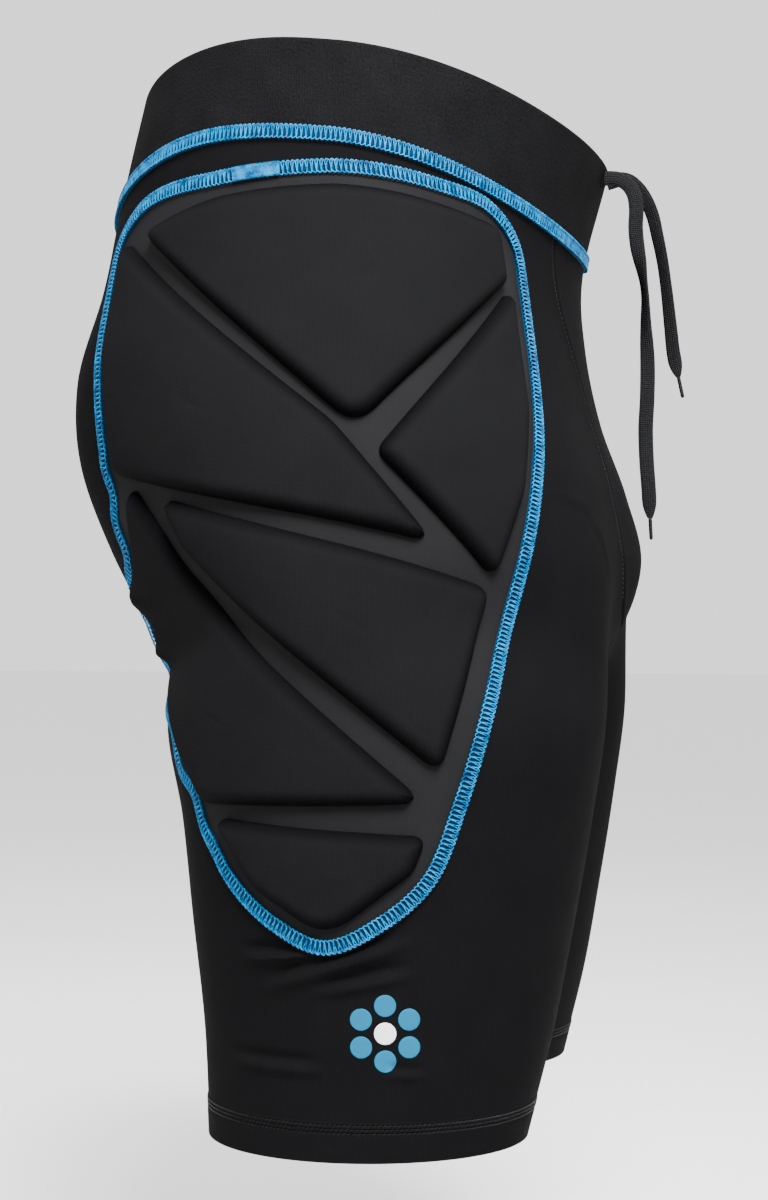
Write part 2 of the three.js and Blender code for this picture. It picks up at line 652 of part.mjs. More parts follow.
const padBase = padBaseGeometry();
const padSeam = padSeamGeometry();
const cellSheet = padSheet(PAD_PROUD + GAP, PAD_PROUD + GAP + CELL_HEIGHT);
const cells = CELLS.map((cell) => cellGeometry(cell, cellSheet));
for (const [side, place] of [["right", (g) => g], ["left", mirrored]]) {
  add(`body_${side}`, place(body), FABRIC);
  add(`pad_base_${side}`, place(padBase), PAD_FABRIC);
  add(`pad_seam_${side}`, place(padSeam), THREAD);
  cells.forEach((cell, i) => add(`pad_cell_${side}_${i + 1}`, place(cell), PAD_FABRIC));
}

add("lace_long", laceGeometry(LONG_LACE), LACE);
add("lace_short", laceGeometry(SHORT_LACE), LACE);
add("aglet_long", agletGeometry(LONG_LACE), AGLET);
add("aglet_short", agletGeometry(SHORT_LACE), AGLET);

export default shorts;
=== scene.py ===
# Padded compression shorts, dressed in their cloth, foam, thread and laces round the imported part.
# Metres, +Z up. The wearer faces -Y and the wearer's right side is at -X.
import math
import bpy
import numpy as np
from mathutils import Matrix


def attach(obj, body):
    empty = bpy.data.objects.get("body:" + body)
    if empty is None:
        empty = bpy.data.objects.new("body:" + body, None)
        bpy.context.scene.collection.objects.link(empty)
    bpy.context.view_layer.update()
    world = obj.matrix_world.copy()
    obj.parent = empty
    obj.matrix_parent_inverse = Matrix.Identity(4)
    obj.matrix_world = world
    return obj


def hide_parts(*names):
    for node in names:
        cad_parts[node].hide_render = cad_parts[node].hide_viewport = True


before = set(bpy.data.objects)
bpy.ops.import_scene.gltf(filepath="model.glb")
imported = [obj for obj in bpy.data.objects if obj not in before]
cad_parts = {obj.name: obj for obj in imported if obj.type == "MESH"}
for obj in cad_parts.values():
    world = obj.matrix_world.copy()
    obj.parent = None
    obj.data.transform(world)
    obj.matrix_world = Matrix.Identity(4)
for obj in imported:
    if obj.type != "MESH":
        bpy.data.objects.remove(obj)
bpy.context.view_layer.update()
MM = 0.001

# Camera: level, beside the wearer's right thigh and a little in front of it, with a long lens.
# The lens and the small shift come from the picture's own size.
IMAGE_WIDTH = 768
IMAGE_HEIGHT = 1200
FOCAL_PIXELS = 2600
CENTRE_PIXEL = (381, 575)
VIEW_TURN = math.radians(8.5)
VIEW_DISTANCE = 1250 * MM
VIEW_HEIGHT = -231 * MM

lens = bpy.data.cameras.new("camera")
lens.sensor_width = 36
lens.lens = lens.sensor_width * FOCAL_PIXELS / IMAGE_HEIGHT
lens.shift_x = (IMAGE_WIDTH / 2 - CENTRE_PIXEL[0]) / IMAGE_HEIGHT
lens.shift_y = (CENTRE_PIXEL[1] - IMAGE_HEIGHT / 2) / IMAGE_HEIGHT
camera = bpy.data.objects.new("camera", lens)
camera.location = (
    -VIEW_DISTANCE * math.cos(VIEW_TURN), -VIEW_DISTANCE * math.sin(VIEW_TURN), VIEW_HEIGHT,
)
camera.rotation_euler = (math.pi / 2, 0, VIEW_TURN - math.pi / 2)
bpy.context.scene.collection.objects.link(camera)
bpy.context.scene.camera = camera

# Drawstring ends: two flat ribbed laces of black polyester braid that come out of buttonholes in the
# band's front and hang down. Each ends in a crimped plastic tip.
LACE_WIDTH = 7 * MM
LACE_THICKNESS = 1.9 * MM
LACE_RIB = 0.9 * MM             # pitch of the ribs across the lace
LACE_RIB_DEPTH = 0.12 * MM
LACE_GATHER = 9 * MM            # the last stretch narrows into the tip
LONG_LACE_LENGTH = 170 * MM
SHORT_LACE_LENGTH = 110 * MM
LONG_ROUTE = [
    (-0.008, -0.1078, -0.044), (-0.008, -0.1108, -0.044), (-0.008, -0.1146, -0.0446),
    (-0.008, -0.1189, -0.0474), (-0.008, -0.1216, -0.0518), (-0.008, -0.1226, -0.0575),
    (-0.008, -0.1224, -0.068), (-0.008, -0.1233, -0.077), (-0.008, -0.1251, -0.0865),
    (-0.008, -0.1266, -0.097), (-0.008, -0.1272, -0.1135), (-0.008, -0.128, -0.133),
    (-0.008, -0.1278, -0.148), (-0.008, -0.1271, -0.162), (-0.008, -0.1275, -0.1765),
    (-0.008, -0.1285, -0.191), (-0.008, -0.1292, -0.2045),
]
SHORT_ROUTE = [
    (0.008, -0.1078, -0.044), (0.008, -0.1106, -0.0432), (0.008, -0.114, -0.0422),
    (0.008, -0.1181, -0.043), (0.008, -0.1222, -0.0462), (0.008, -0.126, -0.0514),
    (0.008, -0.1294, -0.059), (0.008, -0.1319, -0.0694), (0.008, -0.1344, -0.082),
    (0.008, -0.1363, -0.096), (0.008, -0.1382, -0.1135), (0.008, -0.1396, -0.126),
    (0.008, -0.1419, -0.137),
]
LONG_TWIST = [(0, 0), (0.24, 4), (0.34, 58), (0.46, 44), (0.56, 8), (0.80, 0), (1, 12)]
SHORT_TWIST = [(0, 0), (0.30, 28), (0.55, 40), (0.75, 30), (1, 8)]


def slopes(keys, values):
    """Slope at each key: between two neighbouring steps, each weighted by the other's length, and
    the nearest step's own at both ends."""
    gaps = np.diff(keys)[:, None, None]
    steps = np.diff(values, axis=0) / gaps
    middle = (steps[:-1] * gaps[1:] + steps[1:] * gaps[:-1]) / (gaps[1:] + gaps[:-1])
    return np.concatenate([steps[:1], middle, steps[-1:]])


def cubic(s, start, start_slope, end, end_slope):
    """The cubic that meets both ends of a span with their slopes, at s from 0 to 1."""
    return (
        start * (2 * s**3 - 3 * s**2 + 1) + start_slope * (s**3 - 2 * s**2 + s)
        + end * (3 * s**2 - 2 * s**3) + end_slope * (s**3 - s**2)
    )


def along(keys, values, tangents, at):
    """Smooth curve through the keys, one cubic a span."""
    i = np.clip(np.searchsorted(keys, at, side="right") - 1, 0, len(keys) - 2)
    column = np.arange(len(at)) if values.shape[1] > 1 else 0
    span = (keys[i + 1] - keys[i])[:, None]
    s = (at[:, None] - keys[i][:, None]) / span
    return cubic(
        s, values[i, column], tangents[i, column] * span,
        values[i + 1, column], tangents[i + 1, column] * span,
    )


def unit(vectors):
    """Each vector divided by its own length."""
    return vectors / np.maximum(np.linalg.norm(vectors, axis=-1, keepdims=True), 1e-12)


def lengths_along(points):
    """Distance of each point from the first, measured along their line."""
    return np.concatenate([[0], np.cumsum(np.linalg.norm(np.diff(points, axis=0), axis=1))])


def ring_angles(count):
    """Angles of points spaced evenly round a circle."""
    return 2 * math.pi * np.arange(count) / count


def grid_faces(rows, columns, is_closed=False, first=0):
    """Quads of a sheet of points numbered row by row, optionally joined from its last column to its first."""
    r = np.arange(rows - 1)[:, None]
    c = np.arange(columns if is_closed else columns - 1)[None, :]
    following = (c + 1) % columns
    corners = [r * columns + c, r * columns + following, (r + 1) * columns + following, (r + 1) * columns + c]
    return first + np.stack(corners, axis=-1).reshape(-1, 4)


def make_piece(name, points, faces, uv=None, sharp=40):
    """Object from an array of points, a list of face arrays and one pair of cloth coordinates a point."""
    mesh = bpy.data.meshes.new(name)
    corners = np.concatenate([f.ravel() for f in faces]).astype(np.int32)
    sizes = np.concatenate([np.full(len(f), f.shape[1]) for f in faces])
    mesh.vertices.add(len(points))
    mesh.vertices.foreach_set("co", np.ascontiguousarray(points, np.float32).ravel())
    mesh.loops.add(len(corners))
    mesh.loops.foreach_set("vertex_index", corners)
    mesh.polygons.add(len(sizes))
    mesh.polygons.foreach_set("loop_start", np.concatenate([[0], np.cumsum(sizes)[:-1]]).astype(np.int32))
    mesh.polygons.foreach_set("use_smooth", np.ones(len(sizes), bool))
    if uv is not None:
        layer = mesh.uv_layers.new(name="cloth")
        layer.data.foreach_set("uv", np.ascontiguousarray(uv[corners], np.float32).ravel())
    mesh.update(calc_edges=True)
    mesh.validate()
    mesh.set_sharp_from_angle(angle=math.radians(sharp))
    piece = bpy.data.objects.new(name, mesh)
    bpy.context.scene.collection.objects.link(piece)
    return piece


def carried(line, across, over, profile, is_closed=False):
    """A profile carried along a path: each ring is the path's point plus the profile's first number
    times the direction across and its second times the direction over. profile is rings by sides by 2."""
    rings, sides = profile.shape[:2]
    points = line[:, None] + profile[..., :1] * across[:, None] + profile[..., 1:] * over[:, None]
    faces = [grid_faces(rings, sides, True)]
    if is_closed:
        last = (rings - 1) * sides
        here = np.arange(sides)
        following = (here + 1) % sides
        faces.append(np.stack([last + here, last + following, following, here], axis=-1))
    else:
        faces.append(np.arange(sides)[None, ::-1])
        faces.append((rings - 1) * sides + np.arange(sides)[None, :])
    return points.reshape(-1, 3), faces


def colour_of(hexadecimal):
    """Linear colour of a six-digit display colour."""
    parts = np.array([int(hexadecimal[i:i + 2], 16) / 255 for i in (0, 2, 4)])
    linear = np.where(parts <= 0.04045, parts / 12.92, ((parts + 0.055) / 1.055) ** 2.4)
    return (*linear, 1)


def add_group(name, inputs, outputs):
    """Empty node group with number and vector inputs and number outputs."""
    group = bpy.data.node_groups.new(name, "ShaderNodeTree")
    for label, kind, value in inputs:
        socket = group.interface.new_socket(label, in_out="INPUT", socket_type=kind)
        if value is not None:
            socket.default_value = value
    for label in outputs:
        group.interface.new_socket(label, in_out="OUTPUT", socket_type="NodeSocketFloat")
    return group, group.nodes.new("NodeGroupInput"), group.nodes.new("NodeGroupOutput")


def calculate(tree, operation, first, second=None, third=None):
    """One Math node whose inputs are sockets or numbers. Returns its output socket."""
    node = tree.nodes.new("ShaderNodeMath")
    node.operation = operation
    for socket, value in zip(node.inputs, (first, second, third)):
        if isinstance(value, bpy.types.NodeSocket):
            tree.links.new(value, socket)
        elif value is not None:
            socket.default_value = value
    return node.outputs[0]


def add_noise(tree, scale, detail, roughness, vector=None):
    """Noise at this many grains a metre, in the piece's own coordinates if no others are given. Returns
    its output socket."""
    node = tree.nodes.new("ShaderNodeTexNoise")
    node.inputs["Scale"].default_value = scale
    node.inputs["Detail"].default_value = detail
    node.inputs["Roughness"].default_value = roughness
    own = vector or tree.nodes.new("ShaderNodeTexCoord").outputs["Object"]
    tree.links.new(own, node.inputs["Vector"])
    return node.outputs[0]


def new_material(name, specular, colour=None):
    """Material with this gloss and, where it has one, a plain colour, with its node tree and shader."""
    material = bpy.data.materials.new(name)
    material.use_nodes = True
    shader = material.node_tree.nodes["Principled BSDF"]
    shader.inputs["Specular IOR Level"].default_value = specular
    if colour:
        shader.inputs["Base Color"].default_value = colour_of(colour)
    return material, material.node_tree, shader


def mixed(tree, factor, low, high):
    """Colour between a display colour and another one, or a socket's. Returns its output socket."""
    mix = tree.nodes.new("ShaderNodeMix")
    mix.data_type = "RGBA"
    mix.inputs["A"].default_value = colour_of(low)
    if isinstance(high, bpy.types.NodeSocket):
        tree.links.new(high, mix.inputs["B"])
    else:
        mix.inputs["B"].default_value = colour_of(high)
    tree.links.new(factor, mix.inputs["Factor"])
    return mix.outputs["Result"]


def add_relief(tree, shader, height, distance):
    """Bump on the shader, this far in metres."""
    relief = tree.nodes.new("ShaderNodeBump")
    relief.inputs["Distance"].default_value = distance
    tree.links.new(height, relief.inputs["Height"])
    tree.links.new(relief.outputs["Normal"], shader.inputs["Normal"])


# Fine knit, shared by every cloth and by the braid: ribs run along the cloth's second coordinate, each is
# broken by its rows of loops, and the yarn is uneven. The group gives a height and a tone.
VECTOR = "NodeSocketVector"
NUMBER = "NodeSocketFloat"
fine_knit, inside, outside = add_group(
    "fine_knit",
    [
        ("Cloth", VECTOR, None), ("Rib Pitch", NUMBER, 0.0008), ("Row Pitch", NUMBER, 0.0011),
        ("Slub", NUMBER, 0.3),
    ],
    ["Height", "Tone"],
)
split = fine_knit.nodes.new("ShaderNodeSeparateXYZ")
fine_knit.links.new(inside.outputs["Cloth"], split.inputs[0])
rib_turn = calculate(fine_knit, "DIVIDE", split.outputs[0], inside.outputs["Rib Pitch"])
rib_wave = calculate(fine_knit, "COSINE", calculate(fine_knit, "MULTIPLY", rib_turn, 2 * math.pi))
row_turn = calculate(fine_knit, "DIVIDE", split.outputs[1], inside.outputs["Row Pitch"])
leaning = calculate(fine_knit, "MULTIPLY_ADD", calculate(fine_knit, "ABSOLUTE", rib_wave), 0.35, row_turn)
row_wave = calculate(fine_knit, "COSINE", calculate(fine_knit, "MULTIPLY", leaning, 2 * math.pi))
loops = calculate(fine_knit, "MULTIPLY_ADD", row_wave, 0.35, rib_wave)
yarn = add_noise(fine_knit, 900.0, 4.0, 0.65, inside.outputs["Cloth"])
slub = calculate(fine_knit, "MULTIPLY", calculate(fine_knit, "SUBTRACT", yarn, 0.5), inside.outputs["Slub"])
height = calculate(fine_knit, "MULTIPLY_ADD", loops, 0.35, calculate(fine_knit, "MULTIPLY", slub, 4.0))
fine_knit.links.new(height, outside.inputs["Height"])
patch = add_noise(fine_knit, 45.0, 3.0, 0.6, inside.outputs["Cloth"])
mottle = calculate(fine_knit, "MULTIPLY_ADD", calculate(fine_knit, "SUBTRACT", patch, 0.5), 0.5, 0.5)
fine_knit.links.new(calculate(fine_knit, "ADD", mottle, slub), outside.inputs["Tone"])


def cloth_material(name, low, high, knit, bump, roughness, specular, shoulder=None):
    """Knitted cloth: two near colours mixed by the yarn's tone, with the knit as a low bump. Where a shoulder
    colour is given, painted shade turns the cloth towards it at a cushion's shoulder, by a mask that the
    piece carries."""
    material, tree, shader = new_material(name, specular)
    coordinates = tree.nodes.new("ShaderNodeUVMap")
    coordinates.uv_map = "cloth"
    pattern = tree.nodes.new("ShaderNodeGroup")
    pattern.node_tree = fine_knit
    for label, value in knit.items():
        pattern.inputs[label].default_value = value
    tree.links.new(coordinates.outputs[0], pattern.inputs["Cloth"])
    colour = mixed(tree, pattern.outputs["Tone"], low, high)
    # Painted shade: the colour darkens towards the shoulder colour where the piece's mask is low, at a
    # cushion's edge.
    if shoulder:
        painted_shade_mask = tree.nodes.new("ShaderNodeAttribute")
        painted_shade_mask.attribute_name = "painted_shade_mask"
        colour = mixed(tree, painted_shade_mask.outputs["Fac"], shoulder, colour)
    tree.links.new(colour, shader.inputs["Base Color"])
    rough = calculate(tree, "MULTIPLY_ADD", pattern.outputs["Tone"], -0.10, roughness + 0.05)
    tree.links.new(rough, shader.inputs["Roughness"])
    add_relief(tree, shader, pattern.outputs["Height"], bump)
    return material


def finish_piece(piece, material, replaced=()):
    """Gives a piece its material, its body and the nodes that it stands for."""
    piece.data.materials.append(material)
    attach(piece, "root")
    if replaced:
        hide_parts(*replaced)


def lace_piece(name, route, twist):
    """A flat oval carried along the route. Its width lies in the plane of the bend, upright where it
    leaves the band, turned by the twist, and its faces swell at each rib."""
    route = np.array(route)[:, None, :]
    keys = lengths_along(route[:, 0])
    rings = int(keys[-1] / (LACE_RIB / 4))
    at = np.linspace(0, keys[-1], rings)
    line = along(keys, route, slopes(keys, route), at)
    way = unit(np.gradient(line, axis=0))
    flat = unit(np.cross(np.array([1.0, 0, 0]), way))
    knots = np.array(twist)
    degrees = knots[:, 1][:, None, None]
    turn = np.radians(along(knots[:, 0], degrees, slopes(knots[:, 0], degrees), at / keys[-1]))
    across = np.cos(turn) * flat + np.sin(turn) * np.array([1.0, 0, 0])
    over = np.cross(way, across)
    angle = ring_angles(18)
    gather = np.clip((keys[-1] - at) / LACE_GATHER, 0, 1)
    wide = LACE_WIDTH / 2 * (0.27 + 0.73 * np.sin(gather * math.pi / 2) ** 0.8)
    thick = LACE_THICKNESS / 2 * (0.9 + 0.1 * gather)
    edge = np.sign(np.cos(angle)) * np.abs(np.cos(angle)) ** 0.75
    face = np.sign(np.sin(angle)) * np.abs(np.sin(angle)) ** 0.75
    slant = 0.35 * np.abs(edge)[None, :]
    rib = LACE_RIB_DEPTH * np.cos(2 * math.pi * (at[:, None] / LACE_RIB + slant))
    profile = np.stack([wide[:, None] * edge + 0.3 * rib * edge, (thick[:, None] + rib) * face], axis=-1)
    points, faces = carried(line, across, over, profile)
    uv = np.stack([profile[..., 0], np.broadcast_to(at[:, None], profile.shape[:2])], axis=-1).reshape(-1, 2)
    return make_piece(name, points, faces, uv), line


lace_braid = cloth_material(
    "lace_braid", "08080a", "18181a", {"Rib Pitch": 0.0011, "Row Pitch": 0.0009, "Slub": 0.5},
    bump=0.00025, roughness=0.75, specular=0.08,
)

AGLET_LENGTH = 10 * MM
AGLET_RADIUS = 0.9 * MM
AGLET_GAP = 0.05 * MM
AGLET_PROFILE = [(0, 0), (0, 0.86), (0.02, 0.97), (0.06, 1), (0.16, 1), (0.20, 0.90), (0.24, 1), (0.34, 1),
                 (0.38, 0.90), (0.42, 1), (0.86, 0.98), (0.95, 0.84), (0.99, 0.52), (1, 0)]


def tip_piece(name, line):
    """Plastic tip: the profile of length and radius turned round the lace's last direction."""
    way = unit(line[-1] - line[-6])
    start = line[-1] + AGLET_GAP * way
    side = unit(np.cross(way, np.array([0, 1.0, 0])))
    profile = np.array(AGLET_PROFILE)
    angle = ring_angles(24)
    radius = np.maximum(profile[1:-1, 1], 1e-4) * AGLET_RADIUS
    rings = np.stack([radius[:, None] * np.cos(angle), radius[:, None] * np.sin(angle)], axis=-1)
    path = start + profile[1:-1, :1] * AGLET_LENGTH * way
    count = len(path)
    points, faces = carried(path, np.tile(side, (count, 1)), np.tile(np.cross(way, side), (count, 1)), rings)
    return make_piece(name, points, faces, sharp=50)


tip_plastic, tip_tree, tip_shader = new_material("tip_plastic", 0.12, "0a0a0b")
tip_scuff = calculate(tip_tree, "MULTIPLY_ADD", add_noise(tip_tree, 700.0, 5.0, 0.6), 0.30, 0.40)
tip_tree.links.new(tip_scuff, tip_shader.inputs["Roughness"])

for side, route, twist, length in (
    ("long", LONG_ROUTE, LONG_TWIST, LONG_LACE_LENGTH),
    ("short", SHORT_ROUTE, SHORT_TWIST, SHORT_LACE_LENGTH),
):
    lace, lace_line = lace_piece(f"{side}_lace_braid", route, twist)
    finish_piece(lace, lace_braid, [f"lace_{side}"])
    tip = tip_piece(f"{side}_lace_tip", lace_line)
    finish_piece(tip, tip_plastic, [f"aglet_{side}"])

# Seat and legs: one half for each side, knitted stretch cloth cut as a panel that wraps the hip and the
# leg. The halves are sewn together down the centre back and along the crotch, and the hems are turned.
RISE = 252 * MM
LEG_LENGTH = 224 * MM
BAND_HEIGHT = 41 * MM
HIP_WIDTH = 342 * MM
HIP_DEPTH = 250 * MM
LEG_WIDTH = 133 * MM
LEG_DEPTH = 140 * MM
CROTCH_DIP = 24 * MM
SQUARENESS = 2.2
POUCH_REACH = 38 * MM
THIGH_PLACE = 92 * MM
CHEEK_PLACE = 78 * MM
BULGE_REACH = 42 * MM
CLOTH = 1.5 * MM
LEG_CLEARANCE = 0.3 * MM

# Loops round the hips: drop and dips are shares of RISE, half of HIP_WIDTH, the rest of HIP_DEPTH.
HIP_ROWS = [
    dict(drop=0, front_dip=0.149, back_dip=0.058, half=0.422, front=0.434, back=0.434, peak=0.60),
    dict(drop=BAND_HEIGHT / RISE, front_dip=0.160, back_dip=0.110, half=0.430, front=0.388, back=0.486,
         peak=0.60),
    dict(drop=0.373, front_dip=0.111, back_dip=0.040, half=0.450, front=0.382, back=0.505, peak=0.54,
         pouch=0.008, cheek=0.016),
    dict(drop=0.552, front_dip=0.083, back_dip=0.020, half=0.474, front=0.409, back=0.535, peak=0.52,
         pouch=0.012, thigh=0.008, cheek=0.032),
    dict(drop=0.710, front_dip=0.060, back_dip=0.012, half=0.491, front=0.446, back=0.512, peak=0.50,
         pouch=0.024, thigh=0.020, cheek=0.044),
    dict(drop=0.857, front_dip=0.040, back_dip=0.016, half=0.500, front=0.458, back=0.430, peak=0.50,
         pouch=0.040, thigh=0.040, cheek=0.064),
    dict(drop=1, front_dip=0.024, back_dip=0.024, half=0.503, front=0.432, back=0.320, peak=0.50,
         pouch=0.024, thigh=0.068, cheek=0.088),
]

# Loops round one leg: drop is a share of LEG_LENGTH, out of HIP_WIDTH, outer and inner of LEG_WIDTH, the
# rest of LEG_DEPTH.
LEG_ROWS = [
    dict(drop=0.188, out=0.222, back=-0.100, outer=0.720, inner=0.548, half=0.705),
    dict(drop=0.388, out=0.240, back=-0.108, outer=0.672, inner=0.571, half=0.655),
    dict(drop=0.590, out=0.259, back=-0.104, outer=0.614, inner=0.561, half=0.608),
    dict(drop=0.790, out=0.281, back=-0.098, outer=0.548, inner=0.541, half=0.555),
    dict(drop=1, out=0.297, back=-0.068, outer=0.500, inner=0.500, half=0.500),
]
HIP_KEYS = np.array([row["drop"] * RISE for row in HIP_ROWS])
LEG_KEYS = np.array([RISE + row["drop"] * LEG_LENGTH for row in LEG_ROWS])


def hip_loop(row, share):
    """Half a loop round the hips, share 0 at the centre front and 1 at the centre back: a squared
    ellipse with a bulge for pouch, thigh or cheek, which dips towards the front and the back."""
    turn = math.pi * share
    level = np.abs(np.cos(turn))
    side = level ** (2 / SQUARENESS)
    x = -row["half"] * HIP_WIDTH * np.abs(np.sin(turn)) ** (2 / SQUARENESS)

    def bulge(amount, place, reach):
        return row.get(amount, 0) * np.exp(-(((-x - place) / reach) ** 2))

    before = -row["front"] * side - bulge("pouch", 0, POUCH_REACH)
    before -= bulge("thigh", THIGH_PLACE, BULGE_REACH) * np.sqrt(level)
    behind = row["back"] * side + bulge("cheek", CHEEK_PLACE, BULGE_REACH) * np.sqrt(level)
    y = np.where(np.cos(turn) > 0, before, behind) * HIP_DEPTH
    is_front = share < row["peak"]
    way = np.where(is_front, share / row["peak"], (1 - share) / (1 - row["peak"]))
    dip = np.where(is_front, row["front_dip"], row["back_dip"]) * np.cos(math.pi * way / 2) ** 2
    return np.stack([x, y, -RISE * (row["drop"] + dip)], axis=-1)


def leg_loop(row, share):
    """A loop round the leg, share 0 to 1 round the outside and 1 to 2 back along the inside: an ellipse
    with its own width on each side."""
    lean = math.asin(-row["back"] / row["half"]) * (1 - (2 * share - 1) ** 2)
    turn = np.where(share <= 1, math.pi * (1.5 * share - 0.25) + lean, math.pi * (1.25 + 0.5 * (share - 1)))
    width = np.where(np.sin(turn) > 0, row["outer"], row["inner"])
    x = -row["out"] * HIP_WIDTH - width * LEG_WIDTH * np.sin(turn)
    y = (row["back"] - row["half"] * np.cos(turn)) * LEG_DEPTH
    return np.stack([x, y, np.full_like(x, -RISE - row["drop"] * LEG_LENGTH)], axis=-1)


def crotch_curve(share):
    """Curve on the middle plane that hangs between the back (share 1) and the front (share 2)."""
    ends = hip_loop(HIP_ROWS[-1], np.array([1.0, 0.0]))
    points = ends[0] + (ends[1] - ends[0]) * (share - 1)[:, None]
    points[:, 0] = 0
    points[:, 2] -= CROTCH_DIP * np.maximum(0, np.sin(math.pi * (share - 1))) ** 0.8
    return points


def outer_column(share):
    """Drops, points and slopes of the columns down the outside, one key a loop from hips to hem."""
    keys = np.concatenate([HIP_KEYS, LEG_KEYS])
    loops = [hip_loop(row, share) for row in HIP_ROWS] + [leg_loop(row, share) for row in LEG_ROWS]
    points = np.array(loops)
    return keys, points, slopes(keys, points)


def end_slope(share):
    """How far a column's slope at the crotch level turns from the straight step below it."""
    keys, points, tangents = outer_column(np.array([share]))
    last = len(HIP_ROWS) - 1
    step = (points[last + 1] - points[last]) / (keys[last + 1] - keys[last])
    return tangents[last] - step


BACK_END = end_slope(1.0)
FRONT_END = end_slope(0.0)


def inner_column(share):
    """The same down the inside of the leg, from the crotch curve to the hem. Near both ends its first slope
    turns to meet the outside's."""
    keys = np.concatenate([[RISE], LEG_KEYS])
    points = np.array([crotch_curve(share)] + [leg_loop(row, share) for row in LEG_ROWS])
    tangents = slopes(keys, points)
    blend = (np.cos(math.pi * (share - 1)) ** 2)[:, None]
    tangents[0] += np.where((share < 1.5)[:, None], BACK_END, FRONT_END) * blend
    return keys, points, tangents


def face_points(share, drop):
    """Points of the right half's outer face: the smooth column through all loops, read at its drop."""
    share, drop = np.broadcast_arrays(share, drop)
    shape, share, drop = share.shape, share.ravel(), drop.ravel()
    points = np.empty((share.size, 3))
    for chosen, column in ((share <= 1, outer_column), (share > 1, inner_column)):
        if chosen.any():
            keys, values, tangents = column(share[chosen])
            points[chosen] = along(keys, values, tangents, drop[chosen])
    below = drop > RISE + 1 * MM
    points[below, 0] = np.minimum(points[below, 0], -LEG_CLEARANCE)
    return points.reshape(*shape, 3)


def face_normals(share, drop):
    """Outward directions, from two short steps on the face."""
    share, drop = np.broadcast_arrays(np.asarray(share, float), drop)
    is_inside = share > 1
    low = np.maximum(share - 0.002, np.where(is_inside, 1.0001, 0))
    high = np.minimum(share + 0.002, np.where(is_inside, 2, 1))
    up = np.maximum(drop - 0.5 * MM, np.where(is_inside, RISE, 0))
    down = np.minimum(drop + 0.5 * MM, RISE + LEG_LENGTH)
    round_it = face_points(high, drop) - face_points(low, drop)
    fall = face_points(share, down) - face_points(share, up)
    normal = unit(np.cross(round_it, fall))
    normal[np.abs(face_points(share, drop)[..., 0]) < 1e-9, 0] = 0
    return unit(normal)


def lifted(share, drop, lift):
    """Points on the face, moved out along its normals by lift, and the normals."""
    normal = face_normals(share, drop)
    return face_points(share, drop) + normal * np.asarray(lift)[..., None], normal


# How far each share lies round from the side line, front negative, in a table read both ways.
TABLE_DROPS = np.linspace(0, RISE + LEG_LENGTH, 300)
TABLE_SHARES = np.linspace(0, 1, 401)
loops_down = face_points(TABLE_SHARES[None, :], TABLE_DROPS[:, None])
lengths = np.cumsum(np.linalg.norm(np.diff(loops_down, axis=1), axis=2), axis=1)
lengths = np.concatenate([np.zeros((len(TABLE_DROPS), 1)), lengths], axis=1)
arounds_down = lengths - lengths[:, 200:201]
TABLE_AROUNDS = np.linspace(-260 * MM, 260 * MM, 521)
shares_down = np.array([np.interp(TABLE_AROUNDS, row, TABLE_SHARES) for row in arounds_down])


def read_table(table, rows, columns, row_at, column_at):
    """Value between the four nearest entries of an evenly spaced table."""
    r = np.clip((row_at - rows[0]) / (rows[1] - rows[0]), 0, len(rows) - 1.001)
    c = np.clip((column_at - columns[0]) / (columns[1] - columns[0]), 0, len(columns) - 1.001)
    i, j = r.astype(int), c.astype(int)
    s, t = r - i, c - j
    upper = table[i, j] * (1 - t) + table[i, j + 1] * t
    lower = table[i + 1, j] * (1 - t) + table[i + 1, j + 1] * t
    return upper * (1 - s) + lower * s


def share_at(around, drop):
    """Share of the loop that lies this far round from the side line."""
    return read_table(shares_down, TABLE_DROPS, TABLE_AROUNDS, drop, around)


def around_at(share, drop):
    """Distance round from the side line to this share of the loop."""
    return read_table(arounds_down, TABLE_DROPS, TABLE_SHARES, drop, share)


# Edge of the front panel: drop is a share of RISE, side of the way from the front to the back.
PANEL_EDGE = [(0, 0.140), (0.163, 0.135), (0.300, 0.110), (0.440, 0.064), (0.580, 0.052), (0.720, 0.062),
              (0.850, 0.060), (0.940, 0.036), (1, 0)]


def panel_share(drop):
    """Share at which the front panel ends: a smooth curve through the knots of its edge."""
    knots = np.array(PANEL_EDGE)
    keys, values = knots[:, 0] * RISE, knots[:, 1][:, None, None]
    return np.maximum(0, along(keys, values, slopes(keys, values), drop)[:, 0])


def shell(outer, inner, quads):
    """Closed wall between two sheets that share one set of quads: the inner sheet's faces are turned
    round, and a strip closes each open edge."""
    count = len(outer)
    edges = np.concatenate([quads[:, [i, (i + 1) % 4]] for i in range(4)])
    there = edges[:, 0].astype(np.int64) * count + edges[:, 1]
    back = edges[:, 1].astype(np.int64) * count + edges[:, 0]
    p, q = edges[~np.isin(there, back)].T
    rim = np.stack([q, p, p + count, q + count], axis=-1)
    return np.concatenate([outer, inner]), [quads, quads[:, ::-1] + count, rim]


def side_piece(name, points, faces, uv, side):
    """The piece as made for the right side, or its mirror image for the left."""
    if side > 0:
        points = points * np.array([-1, 1, 1])
        faces = [f[:, ::-1] for f in faces]
    return make_piece(name, points, faces, uv)


